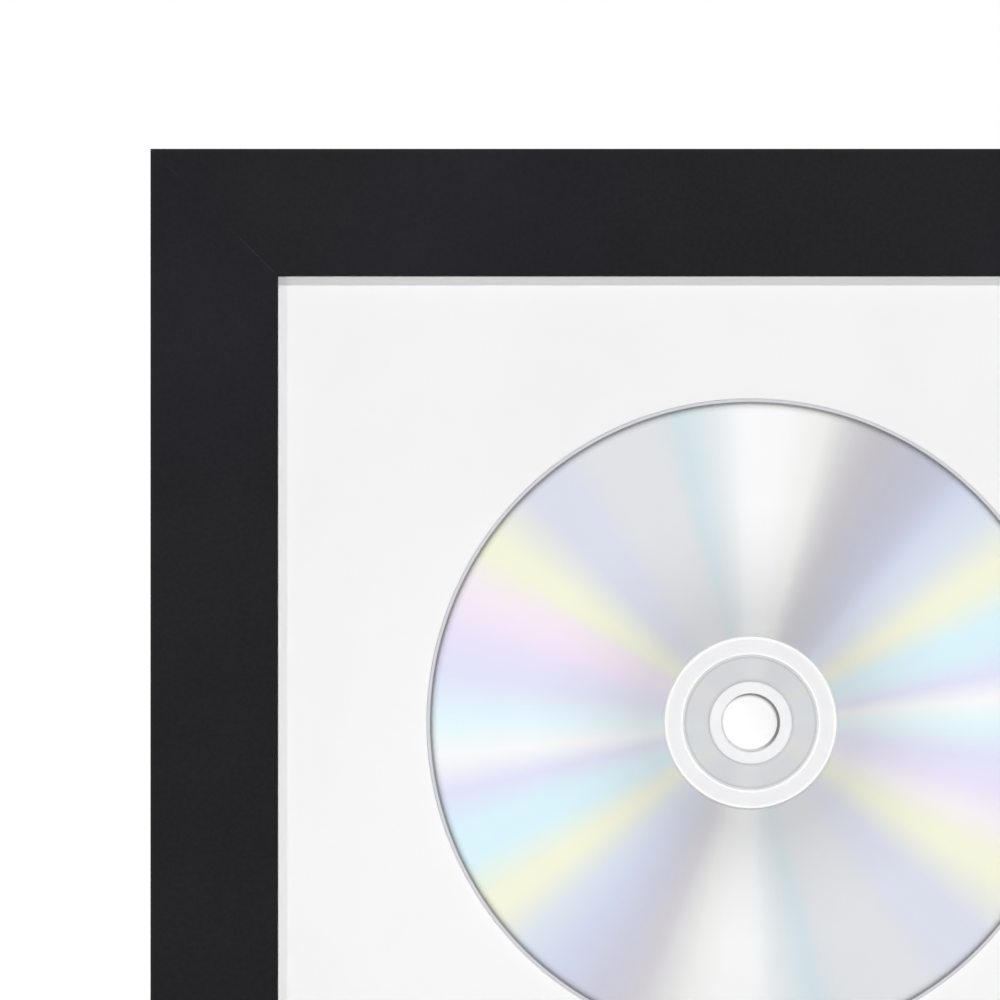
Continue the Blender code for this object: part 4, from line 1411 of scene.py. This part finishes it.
bumper_x = -(bumper_low.x + bumper_high.x) / 2
bumper_z = (bumper_low.z + bumper_high.z) / 2
set_row(
    "wall_bumpers",
    turned("bumper", bumper_outline(), HARDWARE_STEPS, ring=False),
    [(-bumper_x, bumper_z), (bumper_x, bumper_z)],
    new_finish("grey_rubber", {"Specular IOR Level": 0.4}, rubber_look),
    ["wall_bumper_left", "wall_bumper_right"],
)

# Studio floor
# A plain pale floor that the frame stands on. It fades out before the room does, so that no edge of
# it shows against the white behind.

FLOOR_RADIUS = 0.5
FLOOR_FADE = 0.2
FLOOR_GAP = 0.3 * MM
FLOOR_LIFT = 0.4
FLOOR_PALE = screen(243, 243, 242)


def make_floor():
    mesh = bpy.data.meshes.new("floor")
    shell = bmesh.new()
    bmesh.ops.create_circle(shell, cap_ends=True, segments=128, radius=FLOOR_RADIUS)
    bmesh.ops.translate(shell, verts=shell.verts, vec=(0, 0, cad_box[0].z - FLOOR_GAP))
    shell.to_mesh(mesh)
    shell.free()
    floor = bpy.data.objects.new("floor", mesh)
    bpy.context.scene.collection.objects.link(floor)
    finish = new_finish("pale_floor", {"Base Color": FLOOR_PALE, "Roughness": 0.9}, lambda tree: {})
    tree = finish.node_tree
    x, y, _ = axes(tree, object_place(tree))
    gone = smooth(tree, from_axis(tree, x, y), FLOOR_RADIUS - FLOOR_FADE, FLOOR_RADIUS)
    seen = add(tree, "ShaderNodeLightPath").outputs["Is Camera Ray"]
    white = add(tree, "ShaderNodeEmission").outputs[0]
    lift = maths(tree, "MULTIPLY", seen, FLOOR_LIFT)
    plain = tree.nodes["Principled BSDF"].outputs[0]
    lifted = add(tree, "ShaderNodeMixShader", {0: lift, 1: plain, 2: white}).outputs[0]
    opening = add(tree, "ShaderNodeBsdfTransparent").outputs[0]
    faded = add(tree, "ShaderNodeMixShader", {0: gone, 1: lifted, 2: opening}).outputs[0]
    tree.links.new(faded, tree.nodes["Material Output"].inputs["Surface"])
    mesh.materials.append(finish)


make_floor()

# Lamps and room
# Two small lamps, one above and one at the left, draw the lip's narrow shadows on the mat. A third
# fills from the front, and a broad soft one from behind and above shapes the hardware.


def add_lamp(name, towards_lamp, share, spread):
    """A distant lamp that gives a white surface facing it a share of its brightness."""
    light = bpy.data.lights.new(name, "SUN")
    light.energy = share * math.pi
    light.angle = math.radians(spread)
    lamp = bpy.data.objects.new(name, light)
    lamp.rotation_mode = "QUATERNION"
    lamp.rotation_quaternion = Vector(towards_lamp).to_track_quat("Z", "Y")
    bpy.context.scene.collection.objects.link(lamp)
    return lamp


ABOVE_SLOPE = 0.170
LEFT_SLOPE = 0.172
EYE_SLOPE = 0.055
SMALL_LAMP = 0.5
BROAD_LAMP = 12
front_lamps = [
    add_lamp("lamp_above", (EYE_SLOPE, -1, ABOVE_SLOPE), 0.37, SMALL_LAMP),
    add_lamp("lamp_left", (-LEFT_SLOPE, -1, -EYE_SLOPE), 0.14, SMALL_LAMP),
    add_lamp("lamp_front", (EYE_SLOPE, -1, -EYE_SLOPE), 0.34, SMALL_LAMP),
]
for lamp in front_lamps:
    lamp.visible_glossy = False
    lamp.visible_transmission = False
add_lamp("lamp_behind", (-0.35, 0.75, 0.6), 0.35, BROAD_LAMP)

FRONT_ROOM = 0.05
BACK_ROOM = 0.7


def make_room():
    """White to the eye and in reflections. As light, it is dim in front and brightens to the back."""
    room = bpy.data.worlds.new("room")
    bpy.context.scene.world = room
    room.use_nodes = True
    tree = room.node_tree
    tree.nodes.clear()
    _, back, _ = axes(tree, add(tree, "ShaderNodeTexCoord").outputs["Generated"])
    level = smooth(tree, back, -0.05, 0.5, FRONT_ROOM, BACK_ROOM)
    ray = add(tree, "ShaderNodeLightPath").outputs
    shown = maths(tree, "MAXIMUM", ray["Is Camera Ray"], ray["Is Glossy Ray"])
    shown = maths(tree, "MAXIMUM", shown, ray["Is Transmission Ray"])
    lighting = add(tree, "ShaderNodeBackground", {"Strength": level}).outputs[0]
    white = add(tree, "ShaderNodeBackground", {"Strength": 1.0}).outputs[0]
    mixed = add(tree, "ShaderNodeMixShader", {0: shown, 1: lighting, 2: white}).outputs[0]
    output = tree.nodes.new("ShaderNodeOutputWorld")
    for node in tree.nodes:
        if node.type == "BACKGROUND":
            node.inputs["Color"].default_value = (1.0, 1.0, 1.0, 1.0)
    tree.links.new(mixed, output.inputs["Surface"])


make_room()
bpy.context.scene.view_settings.view_transform = "Standard"

# Camera
# It looks straight at the frame from a metre in front of the mat, up and to the left of the disc, so
# that the frame's upper left part fills the view.

CAMERA_DISTANCE = 1.0
CAMERA_X = -46.4 * MM
CAMERA_Z = 41.2 * MM
LENS = 194.07
SENSOR = 36.0
eye = bpy.data.cameras.new("camera")
eye.lens = LENS
eye.sensor_width = SENSOR
eye.clip_start = 0.05
eye.clip_end = 20.0
camera = bpy.data.objects.new("camera", eye)
camera.location = (CAMERA_X, mat_low.y - CAMERA_DISTANCE, CAMERA_Z)
camera.rotation_euler = (math.pi / 2, 0, 0)
bpy.context.scene.collection.objects.link(camera)
bpy.context.scene.camera = camera
